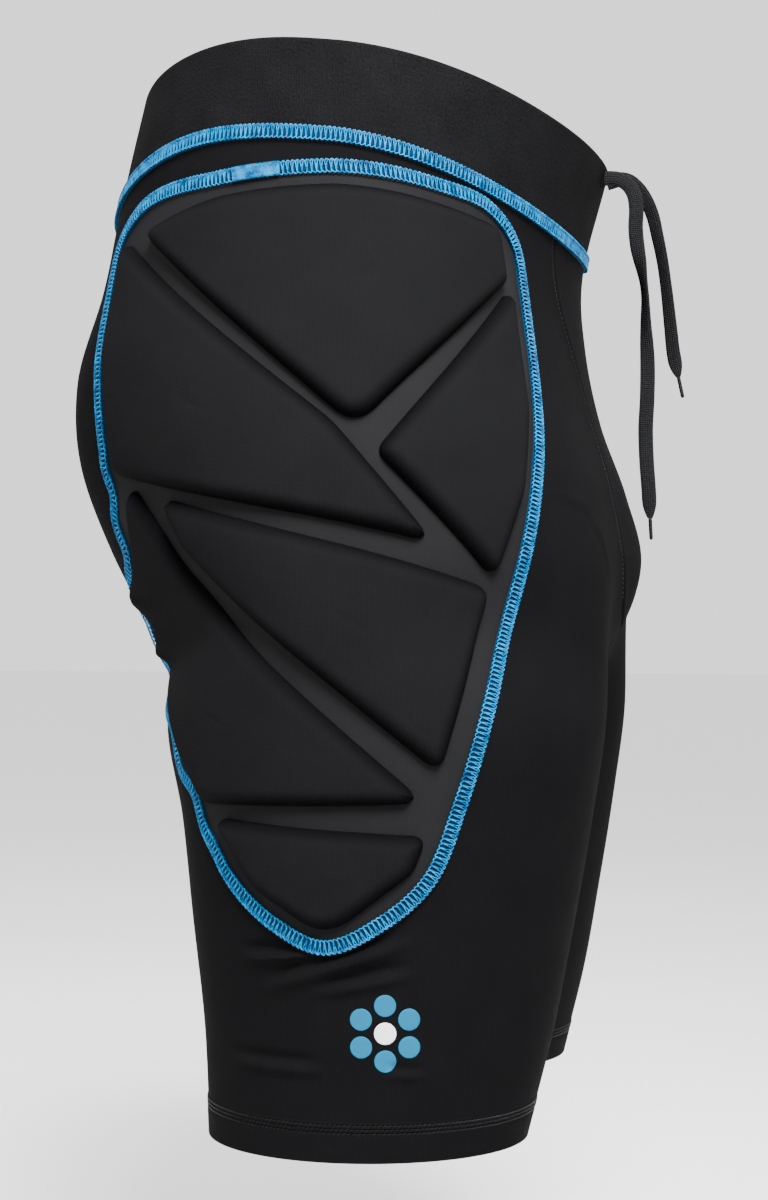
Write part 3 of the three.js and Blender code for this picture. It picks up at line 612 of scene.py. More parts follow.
SEAM_DIP = 1.0 * MM             # cloth pulled in along a sewn edge
SEAM_ROLL = 0.35 * MM           # the seam allowance lifts the cloth beside it
HEM_HEIGHT = 14 * MM
HEM_PUFF = 0.5 * MM
HEM_STEP = 1.5 * MM
HEM_ROW_PITCH = 1.7 * MM
HEM_ROW_DIP = 0.55 * MM
HIP_ROWS_COUNT = 84
OUTSIDE_COLUMNS = 144
INSIDE_COLUMNS = 36
HEM_LINE = RISE + LEG_LENGTH - HEM_HEIGHT
LEG_DROPS = np.concatenate([
    np.linspace(RISE, 376 * MM, 42)[1:], np.linspace(376 * MM, 446 * MM, 60)[1:],
    np.linspace(446 * MM, HEM_LINE - 4 * MM, 6)[1:],
    np.linspace(HEM_LINE - 4 * MM, HEM_LINE + 4 * MM, 21)[1:],
    np.linspace(HEM_LINE + 4 * MM, RISE + LEG_LENGTH, 7)[1:],
])

# Creases of the leg, in millimetres: around and drop of both ends, height and width. The first five are
# under the pad, and the last three trace a soft curve on the front of the thigh.
CREASES = [
    dict(start=(36, 393), end=(6, 390), height=2.6, width=2.7),
    dict(start=(20, 403), end=(-30, 386), height=2.9, width=3.3),
    dict(start=(-2, 405), end=(-34, 398), height=2.1, width=2.7),
    dict(start=(43, 438), end=(4, 438), height=1.8, width=2.6),
    dict(start=(-28, 439), end=(-42, 440), height=1.3, width=2.2),
    dict(start=(-112, 190.5), end=(-137, 194), height=-0.5, width=2.4),
    dict(start=(-136, 194), end=(-152, 209), height=-0.5, width=2.4),
    dict(start=(-151, 208), end=(-160, 228), height=-0.4, width=2.4),
]


def eased(share):
    """A share from 0 to 1 with no slope at either end."""
    return share * share * (3 - 2 * share)


def seam_relief(distance):
    """Lift of the cloth beside a seam: a narrow dip on it and a soft roll next to it."""
    return (
        -SEAM_DIP * np.exp(-((distance / (1.1 * MM)) ** 2))
        + SEAM_ROLL * np.exp(-(((distance - 3.2 * MM) / (1.8 * MM)) ** 2))
    )


def crease_relief(around, drop):
    """Each crease is a ridge along a straight line with a valley under it, fading at both ends."""
    lift = np.zeros_like(around)
    for crease in CREASES:
        start, end = np.array(crease["start"]) * MM, np.array(crease["end"]) * MM
        length = np.linalg.norm(end - start)
        way = (end - start) / length
        s = ((around - start[0]) * way[0] + (drop - start[1]) * way[1]) / length
        off = (-(around - start[0]) * way[1] + (drop - start[1]) * way[0]) / (crease["width"] * MM)
        fade = eased(np.clip(np.minimum(s + 0.25, 1.25 - s) / 0.5, 0, 1))
        ridge = np.exp(-(off**2)) - 0.8 * np.exp(-((off - 1.5) ** 2))
        lift += crease["height"] * MM * fade * ridge
    return lift


def cloth_ease(around, drop):
    """Slight unevenness of stretched cloth: a few long crossing waves."""
    return 0.12 * MM * (
        np.sin(around / (17 * MM) + 1.3 * np.sin(drop / (31 * MM)))
        + np.sin(drop / (23 * MM) + 1.1 * np.sin(around / (29 * MM) + 2.0))
    )


def half_body(name, side):
    """Rows of points down the hip from the front edge to the centre back, then closed loops down the leg."""
    hip_drops = np.linspace(BAND_HEIGHT, RISE, HIP_ROWS_COUNT)
    outside_way = np.linspace(0, 1, OUTSIDE_COLUMNS)
    starts = panel_share(hip_drops)
    hip_share = starts[:, None] + (1 - starts[:, None]) * outside_way
    hip_drop = np.repeat(hip_drops[:, None], OUTSIDE_COLUMNS, axis=1)
    inside_share = np.linspace(1, 2, INSIDE_COLUMNS + 2)[1:-1]
    loop_share = np.concatenate([outside_way, inside_share])
    leg_share = np.repeat(loop_share[None], len(LEG_DROPS), axis=0)
    leg_drop = np.repeat(LEG_DROPS[:, None], len(loop_share), axis=1)
    share = np.concatenate([hip_share.ravel(), inside_share, leg_share.ravel()])
    drop = np.concatenate([hip_drop.ravel(), np.full(INSIDE_COLUMNS, RISE), leg_drop.ravel()])
    columns = len(loop_share)
    hips = grid_faces(HIP_ROWS_COUNT, OUTSIDE_COLUMNS)
    last = (HIP_ROWS_COUNT - 1) * OUTSIDE_COLUMNS
    legs = grid_faces(len(LEG_DROPS) + 1, columns, True, first=last)
    quads = np.concatenate([hips, legs])
    around = np.where(share <= 1, around_at(np.minimum(share, 1), drop), 0.30 + 0.11 * (share - 1))
    front = around_at(panel_share(np.minimum(drop, RISE)), drop)
    from_front = np.where((drop <= RISE) & (share <= 1), around - front, 1)
    from_back = np.where((drop <= RISE) & (share <= 1), around_at(np.ones_like(share), drop) - around, 1)
    from_line = drop - HEM_LINE
    hem = np.clip((from_line - 1.5 * HEM_ROW_PITCH) / HEM_STEP + 0.5, 0, 1)
    rows = np.exp(-((from_line / (2.6 * MM)) ** 4)) * np.cos(2 * math.pi * (from_line / HEM_ROW_PITCH))
    lift = seam_relief(from_front) + seam_relief(from_back) + HEM_PUFF * eased(hem)
    lift += crease_relief(around, drop) + cloth_ease(around, drop) - HEM_ROW_DIP * rows
    outer, normal = lifted(share, drop, lift)
    inner = outer - normal * (CLOTH * (1 + 0.5 * hem))[:, None]
    outer[:, 0] = np.minimum(outer[:, 0], 0)
    inner[:, 0] = np.minimum(inner[:, 0], -0.02 * MM)
    points, faces = shell(outer, inner, quads)
    uv = np.stack([around, drop], axis=-1)
    return side_piece(name, points, faces, np.concatenate([uv, uv]), side)


body_fabric = cloth_material(
    "body_fabric", "09090a", "0f0f10", {"Rib Pitch": 0.0009, "Row Pitch": 0.0012, "Slub": 0.35},
    bump=0.00010, roughness=0.75, specular=0.008,
)
SIDES = (("right", -1), ("left", 1))
for side_name, side in SIDES:
    half = half_body(f"{side_name}_half_cloth", side)
    finish_piece(half, body_fabric, [f"body_{side_name}"])

# Black stitches: short twisted threads of black polyester laid in rows on the cloth. Three close rows hold
# each hem, and one row runs beside each front seam and on each side of the centre back.
HEM_STITCH_PITCH = 2.1 * MM
SEAM_STITCH_PITCH = 2.4 * MM
STITCH_RINGS = [(-1, 0.4), (-0.7, 0.95), (0.7, 0.95), (1, 0.4)]     # shares of half its length and width
STITCH_SIDES = 6


def stitch_row(place, at, across, length, width, lift, slant):
    """Small rounded bars at places along a line, each turned by a slant from the line's own direction."""
    middle, normal = place(at, np.full_like(at, across), np.full_like(at, lift))
    ahead, _ = place(at + 0.3 * MM, np.full_like(at, across), np.full_like(at, lift))
    way = unit(ahead - middle)
    side = unit(np.cross(normal, way))
    long = math.cos(slant) * way + math.sin(slant) * side
    wide = np.cross(normal, long)
    angle = ring_angles(STITCH_SIDES)
    shape = np.array([
        (step * length / 2, round_it * width / 2 * math.cos(a), round_it * width / 2 * math.sin(a))
        for step, round_it in STITCH_RINGS for a in angle
    ])
    bars = (
        middle[:, None] + shape[None, :, :1] * long[:, None]
        + shape[None, :, 1:2] * wide[:, None] + shape[None, :, 2:] * normal[:, None]
    )
    one = len(shape)
    first = (np.arange(len(at)) * one)[:, None, None]
    last_ring = (len(STITCH_RINGS) - 1) * STITCH_SIDES
    ring = np.arange(STITCH_SIDES)
    faces = [
        (grid_faces(len(STITCH_RINGS), STITCH_SIDES, True)[None] + first).reshape(-1, 4),
        (ring[None, None, ::-1] + first).reshape(-1, STITCH_SIDES),
        (last_ring + ring[None, None, :] + first).reshape(-1, STITCH_SIDES),
    ]
    return bars.reshape(-1, 3), faces


def joined(parts):
    """Several sets of points and faces as one."""
    points, faces, first = [], [], 0
    for part_points, part_faces in parts:
        points.append(part_points)
        faces += [f + first for f in part_faces]
        first += len(part_points)
    return np.concatenate(points), faces


hem_shares = np.linspace(0, 2, 801)
hem_lengths = lengths_along(face_points(hem_shares, np.full(801, HEM_LINE)))


def hem_place(at, across, lift):
    """A place on the hem: at along its loop, across downwards and lift outwards."""
    return lifted(np.interp(np.mod(at, hem_lengths[-1]), hem_lengths, hem_shares), HEM_LINE + across, lift)


def front_place(at, across, lift):
    """A place beside the front seam at this drop: across it towards the side, and lift outwards."""
    return lifted(share_at(around_at(panel_share(at), at) + across, at), at, lift)


def back_place(at, across, lift):
    """A place beside the centre back seam at this drop: across it towards the side, and lift outwards."""
    return lifted(share_at(around_at(np.ones_like(at), at) - across, at), at, lift)


black_thread, black_tree, black_shader = new_material("black_thread", 0.15, "121213")
black_fibre = calculate(black_tree, "MULTIPLY_ADD", add_noise(black_tree, 1800.0, 3.0, 0.6), 0.4, 0.30)
black_tree.links.new(black_fibre, black_shader.inputs["Roughness"])
seam_drops = np.arange(BAND_HEIGHT + 5 * MM, RISE * 0.93, SEAM_STITCH_PITCH)
hem_places = np.arange(0, hem_lengths[-1] - 1 * MM, HEM_STITCH_PITCH)
for side_name, side in SIDES:
    rows = [
        stitch_row(hem_place, hem_places + shift * HEM_STITCH_PITCH, across=row * HEM_ROW_PITCH,
                   length=1.9 * MM, width=0.55 * MM, lift=0.16 * MM, slant=0.35)
        for row, shift in ((-1, 0), (0, 0.5), (1, 0))
    ]
    rows.append(stitch_row(front_place, seam_drops, across=2.4 * MM,
                           length=1.5 * MM, width=0.42 * MM, lift=0.20 * MM, slant=0.15))
    rows.append(stitch_row(back_place, seam_drops, across=2.4 * MM,
                           length=1.7 * MM, width=0.50 * MM, lift=0.34 * MM, slant=-0.15))
    points, faces = joined(rows)
    stitches = side_piece(f"{side_name}_black_stitches", points, faces, None, side)
    finish_piece(stitches, black_thread)

# Print on the right leg: seven thin round dots of rubbery ink pressed on to the cloth, six blue ones round
# a white one.
DOT_PLACE = (-27 * MM, 421.5 * MM)
DOT_RADIUS = 4.6 * MM
DOT_SPACING = 11.6 * MM
DOT_LIFT = 0.4 * MM
DOT_RINGS = [(1.0, -0.3), (1.0, 0.55), (0.97, 0.85), (0.90, 1.0), (0.60, 1.0), (0.30, 1.0), (0.02, 1.0)]


def ink_material(name, colour):
    """Matt rubbery ink with a faint grain."""
    material, tree, shader = new_material(name, 0.15, colour)
    grain = add_noise(tree, 900.0, 4.0, 0.6)
    tree.links.new(calculate(tree, "MULTIPLY_ADD", grain, 0.35, 0.35), shader.inputs["Roughness"])
    add_relief(tree, shader, grain, 0.00006)
    return material


def ink_dot(middle):
    """Disc that follows the leg: rings of places round its middle, each ring with its own lift."""
    sides = 40
    angle = ring_angles(sides)
    keep = np.array([ring[0] for ring in DOT_RINGS])[:, None]
    rise = np.repeat(np.array([ring[1] for ring in DOT_RINGS])[:, None] * DOT_LIFT, sides, axis=1)
    around = middle[0] + DOT_RADIUS * keep * np.cos(angle)
    drop = middle[1] + DOT_RADIUS * keep * np.sin(angle)
    ease = crease_relief(around, drop) + cloth_ease(around, drop)
    points, _ = lifted(share_at(around, drop), drop, rise + ease)
    return points.reshape(-1, 3), [
        grid_faces(len(DOT_RINGS), sides, True)[:, ::-1],
        ((len(DOT_RINGS) - 1) * sides + np.arange(sides))[None, ::-1],
        np.arange(sides)[None, :],
    ]


ring_dots = [
    (DOT_PLACE[0] + DOT_SPACING * math.cos(a), DOT_PLACE[1] + DOT_SPACING * math.sin(a))
    for a in ring_angles(6) + math.pi / 6
]
for dot_name, colour, middles in (
    ("blue_print", "005878", ring_dots), ("white_print", "dcdcdc", [DOT_PLACE]),
):
    points, faces = joined([ink_dot(middle) for middle in middles])
    dots = make_piece(dot_name, points, faces)
    dots.data.materials.append(ink_material(dot_name, colour))
    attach(dots, "root")

# Front panel: one piece of the same stretch cloth, sewn in between the two curved front seams, from the
# band down to a tongue at the crotch.
PANEL_ROWS = 90
PANEL_HALF_COLUMNS = 24
panel_drops = np.linspace(BAND_HEIGHT, RISE * 0.985, PANEL_ROWS)
panel_way = np.linspace(-1, 1, 2 * PANEL_HALF_COLUMNS + 1)
panel_shares = np.abs(panel_way)[None] * panel_share(panel_drops)[:, None]
panel_drop = np.repeat(panel_drops[:, None], len(panel_way), axis=1)
panel_edge = around_at(panel_share(panel_drops), panel_drops)[:, None]
panel_lift = seam_relief(panel_edge - around_at(panel_shares, panel_drop))
panel_face, panel_normal = lifted(panel_shares, panel_drop, panel_lift)
panel_turn = np.where(panel_way > 0, -1.0, 1.0)[None, :, None] * np.array([1.0, 0, 0])
panel_turn = panel_turn + np.array([0, 1.0, 1.0])
panel_outer = (panel_face * panel_turn).reshape(-1, 3)
panel_inner = ((panel_face - CLOTH * panel_normal) * panel_turn).reshape(-1, 3)
panel_points, panel_faces = shell(panel_outer, panel_inner, grid_faces(PANEL_ROWS, len(panel_way))[:, ::-1])
panel_uv = np.stack([
    (around_at(panel_shares, panel_drop) - around_at(np.zeros_like(panel_shares), panel_drop))
    * np.sign(panel_way),
    panel_drop,
], axis=-1).reshape(-1, 2)
front_cloth = make_piece("front_panel_cloth", panel_points, panel_faces, np.concatenate([panel_uv, panel_uv]))
finish_piece(front_cloth, body_fabric, ["front_panel"])

# Waistband: a wide double layer of firmer stretch cloth with a rounded top edge. Two upright
# buttonholes in front let the ends of the drawstring out.
BAND_WALL = 2.5 * MM
BAND_PROUD = 0.3 * MM
BAND_ROUND = 1.2 * MM
SLOT_BELOW_RIM = 6.5 * MM
SLOT_APART = 8 * MM
SLOT_WIDTH = 2.6 * MM
SLOT_HEIGHT = 8 * MM
BAND_HALF_COLUMNS = 190


def waist_shares(count):
    """Shares of one closed loop round the waist, and the side that each lies on."""
    way = np.arange(2 * count) / count
    return np.where(way <= 1, way, 2 - way), np.where(way <= 1, 1.0, -1.0)


band_steps = np.concatenate([
    BAND_ROUND * (1 - np.cos(np.linspace(0, math.pi / 2, 7))),
    np.linspace(BAND_ROUND, BAND_HEIGHT - 0.2 * MM, 34)[1:],
])
band_share, band_side = waist_shares(BAND_HALF_COLUMNS)
band_share = np.repeat(band_share[None], len(band_steps), axis=0)
band_drop = np.repeat(band_steps[:, None], band_share.shape[1], axis=1)
band_curl = np.sqrt(np.maximum(0.02, 1 - np.maximum(0, 1 - band_drop / BAND_ROUND) ** 2))
band_around = around_at(band_share, band_drop)
band_wave = 0.10 * MM * np.sin(band_around / (13 * MM) + 1.2 * np.sin(band_drop / (9 * MM)))
band_lift = BAND_PROUD - BAND_WALL / 2 * (1 - band_curl) + band_wave
band_face, band_normal = lifted(band_share, band_drop, band_lift)
band_flip = np.stack([band_side, np.ones_like(band_side), np.ones_like(band_side)], axis=-1)[None]
band_outer = band_face * band_flip
band_inner = (band_face - band_normal * (BAND_WALL * band_curl)[..., None]) * band_flip
band_quads = grid_faces(len(band_steps), band_share.shape[1], True)
rim_front = face_points(np.zeros(1), np.zeros(1))[0]
slot_centre = np.array([SLOT_APART, rim_front[2] - SLOT_BELOW_RIM])
quad_middle = band_outer.reshape(-1, 3)[band_quads].mean(axis=1)
in_slot = (
    (quad_middle[:, 1] < 0)
    & (np.abs(np.abs(quad_middle[:, 0]) - slot_centre[0]) < SLOT_WIDTH / 2)
    & (np.abs(quad_middle[:, 2] - slot_centre[1]) < SLOT_HEIGHT / 2)
)
band_points, band_faces = shell(band_outer.reshape(-1, 3), band_inner.reshape(-1, 3), band_quads[~in_slot])
band_uv = np.stack([band_around * band_side, band_drop], axis=-1).reshape(-1, 2)
band_fabric = cloth_material(
    "band_fabric", "040405", "181819", {"Rib Pitch": 0.0012, "Row Pitch": 0.0030, "Slub": 1.1},
    bump=0.00014, roughness=0.78, specular=0.008,
)
band_cloth = make_piece("waistband_cloth", band_points, band_faces, np.concatenate([band_uv, band_uv]))
finish_piece(band_cloth, band_fabric, ["waistband"])

# Side pads: foam cells under the same fabric, moulded on to a thin flat that fills a window in each half.
# Each cell is a pillow with a soft shoulder, darkened by painted shade, and the grooves between the cells are
# pressed flat.
PAD_WIDTH = 236 * MM
PAD_HEIGHT = 336 * MM
PAD_BELOW_BAND = 9 * MM
PAD_TOP = BAND_HEIGHT + PAD_BELOW_BAND
PAD_FLAT_LIFT = 0.5 * MM
PAD_FLAT_BOTTOM = -0.8 * MM
CELL_HEIGHT = 6.6 * MM
CELL_CROWN = 0.9 * MM
CELL_SHOULDER = 7 * MM
SHOULDER_SHADE = 7 * MM
# Outline from the front edge over the top: around is a share of PAD_WIDTH, drop of PAD_HEIGHT.
PAD_EDGE = [
    (0, 0.016), (-0.191, 0.005), (-0.324, 0.001), (-0.403, 0.033), (-0.441, 0.125), (-0.455, 0.259),
    (-0.426, 0.408), (-0.370, 0.560), (-0.309, 0.692), (-0.251, 0.818), (-0.193, 0.915), (-0.110, 0.968),
    (-0.009, 1), (0.085, 0.976), (0.195, 0.921), (0.286, 0.843), (0.405, 0.730), (0.495, 0.660),
    (0.540, 0.580), (0.527, 0.446), (0.547, 0.223), (0.530, 0.077), (0.441, 0.036), (0.212, 0.030),
]
PAD_MIDDLE = (0.040, 0.430)
# Each cell's middle, then its corners in the same shares with the radius of each, a share of PAD_WIDTH.
CELLS = [
    dict(middle=(-0.034, 0.173), corners=[
        (0.411, 0.077, 0.025), (0.212, 0.054, 0.17), (0, 0.040, 0.17), (-0.347, 0.025, 0.034),
        (-0.369, 0.113, 0.021), (-0.060, 0.356, 0.055),
    ]),
    dict(middle=(0.300, 0.300), corners=[
        (0.483, 0.074, 0.017), (-0.018, 0.346, 0.25), (-0.205, 0.496, 0.017), (0.479, 0.403, 0.021),
        (0.513, 0.238, 0.25),
    ]),
    dict(middle=(-0.263, 0.357), corners=[
        (-0.386, 0.116, 0.017), (-0.415, 0.298, 0.17), (-0.390, 0.417, 0.17), (-0.322, 0.537, 0.025),
        (-0.094, 0.384, 0.025),
    ]),
    dict(middle=(-0.110, 0.616), corners=[
        (0.345, 0.434, 0.03), (-0.315, 0.548, 0.03), (-0.212, 0.785, 0.025), (0.290, 0.500, 0.08),
    ]),
    dict(middle=(0.254, 0.708), corners=[
        (0.436, 0.413, 0.021), (0.301, 0.525, 0.25), (-0.190, 0.821, 0.021), (0.262, 0.830, 0.034),
        (0.408, 0.690, 0.085), (0.512, 0.560, 0.127),
    ]),
    dict(middle=(0.020, 0.905), corners=[
        (0.236, 0.845, 0.021), (-0.190, 0.861, 0.021), (-0.165, 0.906, 0.05), (-0.012, 0.988, 0.085),
        (0.140, 0.928, 0.127),
    ]),
]
PAD_SIZE = np.array([PAD_WIDTH, PAD_HEIGHT])


def smooth_outline(corners, samples):
    """Closed centripetal curve through the corners, evenly spaced: each span's end slopes weigh the
    neighbouring steps by the square roots of their lengths."""
    p = [np.roll(corners, 1 - i, axis=0) for i in range(4)]
    d = [np.linalg.norm(p[i + 1] - p[i], axis=1)[:, None] ** 0.5 for i in range(3)]
    first = (p[1] - p[0]) / d[0] - (p[2] - p[0]) / (d[0] + d[1]) + (p[2] - p[1]) / d[1]
    second = (p[2] - p[1]) / d[1] - (p[3] - p[1]) / (d[1] + d[2]) + (p[3] - p[2]) / d[2]
    s = np.linspace(0, 1, 60, endpoint=False)[None, :, None]
    curve = cubic(s, p[1][:, None], (first * d[1])[:, None], p[2][:, None], (second * d[1])[:, None])
    return even_loop(curve.reshape(-1, 2), samples)


def even_loop(points, samples):
    """Evenly spaced points on a closed line."""
    closed = np.concatenate([points, points[:1]])
    length = lengths_along(closed)
    at = np.arange(samples) / samples * length[-1]
    return np.stack([np.interp(at, length, closed[:, i]) for i in (0, 1)], axis=-1)


def pad_place(places, lift):
    """Points over the body at places given as around and drop under the pad's top, with their normals."""
    drop = PAD_TOP + places[..., 1]
    return lifted(share_at(places[..., 0], drop), drop, lift)


def distance_inside(points, outline):
    """Distance of each point from the nearest side of a closed outline."""
    a, b = outline, np.roll(outline, -1, axis=0)
    side = b - a
    s = ((points[:, None] - a) * side).sum(-1) / (side * side).sum(-1)
    nearest = a + np.clip(s, 0, 1)[..., None] * side
    return np.linalg.norm(points[:, None] - nearest, axis=-1).min(axis=1)


def cell_outline(corners, samples):
    """Straight sides joined at each corner by a curve that leaves them at the corner's radius."""
    at = np.array([(around, drop) for around, drop, _ in corners]) * PAD_SIZE
    radius = np.array([r for _, _, r in corners]) * PAD_WIDTH
    before, after = np.roll(at, 1, axis=0) - at, np.roll(at, -1, axis=0) - at
    short, long = np.linalg.norm(before, axis=1), np.linalg.norm(after, axis=1)
    half = np.arccos((before * after).sum(1) / (short * long)) / 2
    cut = np.minimum(radius / np.tan(half), 0.45 * np.minimum(short, long))
    start = at + before * (cut / short)[:, None]
    end = at + after * (cut / long)[:, None]
    s = np.linspace(0, 1, 12)[None, :, None]
    arcs = start[:, None] * (1 - s) ** 2 + at[:, None] * 2 * s * (1 - s) + end[:, None] * s**2
    return even_loop(arcs.reshape(-1, 2), samples)


def ringed(outline, middle, keeps):
    """Rings of the outline drawn in towards its middle."""
    return middle + (outline[None] - middle) * np.asarray(keeps)[:, None, None]


def pad_solid(outline, middle, keeps, lift_of, bottom, bottom_keeps):
    """Closed pillow: top rings from the edge inwards to a centre point, bottom rings from the edge
    inwards to another."""
    count = len(outline)
    top = ringed(outline, middle, keeps)
    under = ringed(outline, middle, bottom_keeps)
    top_points, _ = pad_place(top, lift_of(top))
    under_points, _ = pad_place(under, np.full(under.shape[:2], bottom))
    centre = middle[None, None]
    centre_top, _ = pad_place(centre, lift_of(centre))
    centre_under, _ = pad_place(centre, np.full((1, 1), bottom))
    points = np.concatenate([a.reshape(-1, 3) for a in (top_points, under_points, centre_top, centre_under)])
    first_under = len(keeps) * count
    centre_index = first_under + len(bottom_keeps) * count
    ring = np.arange(count)
    following = (ring + 1) % count
    last_top = (len(keeps) - 1) * count
    last_under = first_under + (len(bottom_keeps) - 1) * count
    faces = [
        grid_faces(len(keeps), count, True)[:, ::-1],
        grid_faces(len(bottom_keeps), count, True, first_under),
        np.stack([ring, following, first_under + following, first_under + ring], axis=-1),
        np.stack([last_top + following, last_top + ring, np.full(count, centre_index)], axis=-1),
        np.stack([last_under + ring, last_under + following, np.full(count, centre_index + 1)], axis=-1),
    ]
    places = np.concatenate([a.reshape(-1, 2) for a in (top, under, centre, centre)])
    return points, faces, places + np.array([0, PAD_TOP])


# Folds of the foam at the pad's rear edge: middle, height and reach round and down, all in millimetres.
FOAM_FOLDS = [
    dict(middle=(113, 150), height=1.2, reach=(16, 8)), dict(middle=(114, 184), height=5.0, reach=(15, 7)),
    dict(middle=(110, 211), height=5.6, reach=(15, 7)), dict(middle=(86, 262), height=1.4, reach=(14, 9)),
]
EDGE_WAVE = 2.4 * MM
EDGE_WAVE_PITCH = 27 * MM
EDGE_WAVE_START = 14 * MM
EDGE_SLACK = 3.4 * MM
EDGE_SLACK_DROP = 197 * MM
EDGE_SLACK_REACH = 24 * MM
EDGE_FOLDS_TOP, EDGE_FOLDS_BOTTOM = 120 * MM, 305 * MM


def foam_folds(places):
    """Sum of round bulges, each its height times a bell of the distance from its middle over its reach."""
    lift = np.zeros(places.shape[:-1])
    for fold in FOAM_FOLDS:
        off = (places / MM - np.array(fold["middle"])) / np.array(fold["reach"])
        lift += fold["height"] * MM * np.exp(-(off**2).sum(-1))
    return lift


def wavy_edge(outline):
    """The outline let out and drawn in along the folds of its rear edge: a sine of the drop, and a slack that
    is most where the foam bulges, both faded out above and below."""
    way = unit(np.roll(outline, -1, axis=0) - np.roll(outline, 1, axis=0))
    out = np.stack([-way[:, 1], way[:, 0]], axis=-1)
    drop = outline[:, 1]
    fade = np.clip((drop - EDGE_FOLDS_TOP) / (25 * MM), 0, 1)
    fade *= np.clip((EDGE_FOLDS_BOTTOM - drop) / (30 * MM), 0, 1) * (outline[:, 0] > 20 * MM)
    wave = EDGE_WAVE * np.sin(2 * math.pi * (drop - EDGE_WAVE_START) / EDGE_WAVE_PITCH)
    wave += EDGE_SLACK * np.exp(-(((drop - EDGE_SLACK_DROP) / EDGE_SLACK_REACH) ** 2))
    return outline + out * (wave * fade)[:, None]


pad_edge_line = wavy_edge(smooth_outline(np.array(PAD_EDGE) * PAD_SIZE, 300))
pad_middle = np.array(PAD_MIDDLE) * PAD_SIZE


def pad_flat_lift(places):
    """The flat lies just proud of the cloth, with a faint ease, and thins out under the seam."""
    shape = places.shape[:-1]
    flat = places.reshape(-1, 2)
    inset = distance_inside(flat, pad_edge_line).reshape(shape)
    ease = 0.15 * MM * np.sin(flat[:, 0] / (11 * MM) + 1.5 * np.sin(flat[:, 1] / (19 * MM))).reshape(shape)
    thinned = (PAD_FLAT_LIFT + ease) * np.clip(inset / (4 * MM), 0.2, 1)
    return thinned + foam_folds(places) * np.clip(inset / (6 * MM), 0, 1)


def cell_lift(outline):
    """Height of a cell: a quarter of an ellipse over its shoulder, then a slow crown, with faint dents."""
    def lift(places):
        flat = places.reshape(-1, 2)
        inset = distance_inside(flat, outline)
        shoulder = CELL_HEIGHT * np.sqrt(1 - (1 - np.clip(inset / CELL_SHOULDER, 0, 1)) ** 2)
        crown = CELL_CROWN * (1 - np.exp(-inset / (18 * MM)))
        dents = 0.12 * MM * np.sin(flat[:, 0] / (9 * MM) + 1.7 * np.sin(flat[:, 1] / (14 * MM)))
        height = shoulder + crown + dents * np.clip(inset / CELL_SHOULDER, 0, 1) + foam_folds(flat)
        return height.reshape(places.shape[:-1])
    return lift


# The cushion cloth's third colour is painted shade over each cell's shoulder.
cushion_fabric = cloth_material(
    "cushion_fabric", "0d0d0e", "131314", {"Rib Pitch": 0.0009, "Row Pitch": 0.0011, "Slub": 0.35},
    bump=0.00008, roughness=0.75, specular=0.008, shoulder="070708",
)
# Pressed grooves: the cloth is a little glossier, and its lighter colour than the cells' is painted sheen.
pressed_fabric_painted_sheen = cloth_material(
    "pressed_fabric_painted_sheen", "131314", "1a1a1b", {"Rib Pitch": 0.0009, "Row Pitch": 0.0011, "Slub": 0.25},
    bump=0.00005, roughness=0.62, specular=0.02,
)
CELL_KEEPS = 1 - 0.92 * np.linspace(0, 1, 26)[:-1] ** 1.9
FLAT_KEEPS = np.concatenate([1 - 0.10 * np.linspace(0, 1, 8) ** 1.5, np.linspace(0.88, 0.06, 22)])
for side_name, side in SIDES:
    points, faces, uv = pad_solid(
        pad_edge_line, pad_middle, FLAT_KEEPS, pad_flat_lift, PAD_FLAT_BOTTOM, np.linspace(1, 0.1, 10),
    )
    flat = side_piece(f"{side_name}_pad_flat", points, faces, uv, side)
    finish_piece(flat, pressed_fabric_painted_sheen, [f"pad_base_{side_name}"])
    for number, cell in enumerate(CELLS, 1):
        edge = cell_outline(cell["corners"], 170)
        points, faces, uv = pad_solid(
            edge, np.array(cell["middle"]) * PAD_SIZE, CELL_KEEPS, cell_lift(edge),
            0.0, np.linspace(1, 0.2, 4),
        )
        pillow = side_piece(f"{side_name}_pad_cushion_{number}", points, faces, uv, side)
        # Painted shade: a mask that runs from 0 at each cell's edge to 1 at SHOULDER_SHADE inside darkens the
        # cloth over its shoulder.
        inset = np.clip(distance_inside(uv - np.array([0, PAD_TOP]), edge) / SHOULDER_SHADE, 0, 1)
        painted_shade_mask = pillow.data.attributes.new("painted_shade_mask", "FLOAT", "POINT")
        painted_shade_mask.data.foreach_set("value", eased(inset).astype(np.float32))
        finish_piece(pillow, cushion_fabric, [f"pad_cell_{side_name}_{number}"])

# Flat seams: a row of looped stitches in bright blue thread over the joint between two cloths, one round
# the waist and one round each pad. Each loop runs across and back, and a second thread chains each edge.
SEAM_WIDTH = 6.2 * MM
STITCH_PITCH = 2.1 * MM
THREAD_RADIUS = 0.33 * MM
SEAM_BED = 1.15 * MM            # lift of the pressed cloth under the thread


def stitch_lines(length):
    """Along, across and lift of the three threads: the wide loops go round a flat oval once a pitch
    and lean into each other, and the edge threads do the same on a small one."""
    count = int(length / STITCH_PITCH)
    pitch = length / count
    lines = []
    for points, reach, centre, swing, turn, rise in (
        (12, SEAM_WIDTH / 2 - THREAD_RADIUS, 0, 0.13, 0, 0.22 * MM),
        (6, 0.55 * MM, SEAM_WIDTH / 2 - 0.6 * MM, 0.16, 1.2, 0.50 * MM),
        (6, 0.45 * MM, -SEAM_WIDTH / 2 + 0.5 * MM, 0.16, 2.2, 0.46 * MM),
    ):
        angle = 2 * math.pi * np.arange(points * count) / points
        along_it = angle / (2 * math.pi) * pitch + swing * pitch * np.sin(angle)
        across = centre + reach * np.cos(angle + turn)
        lift = SEAM_BED + THREAD_RADIUS + rise * (1 - np.abs(across - centre) / reach * 0.8)
        lines.append((along_it, across, lift))
    return lines


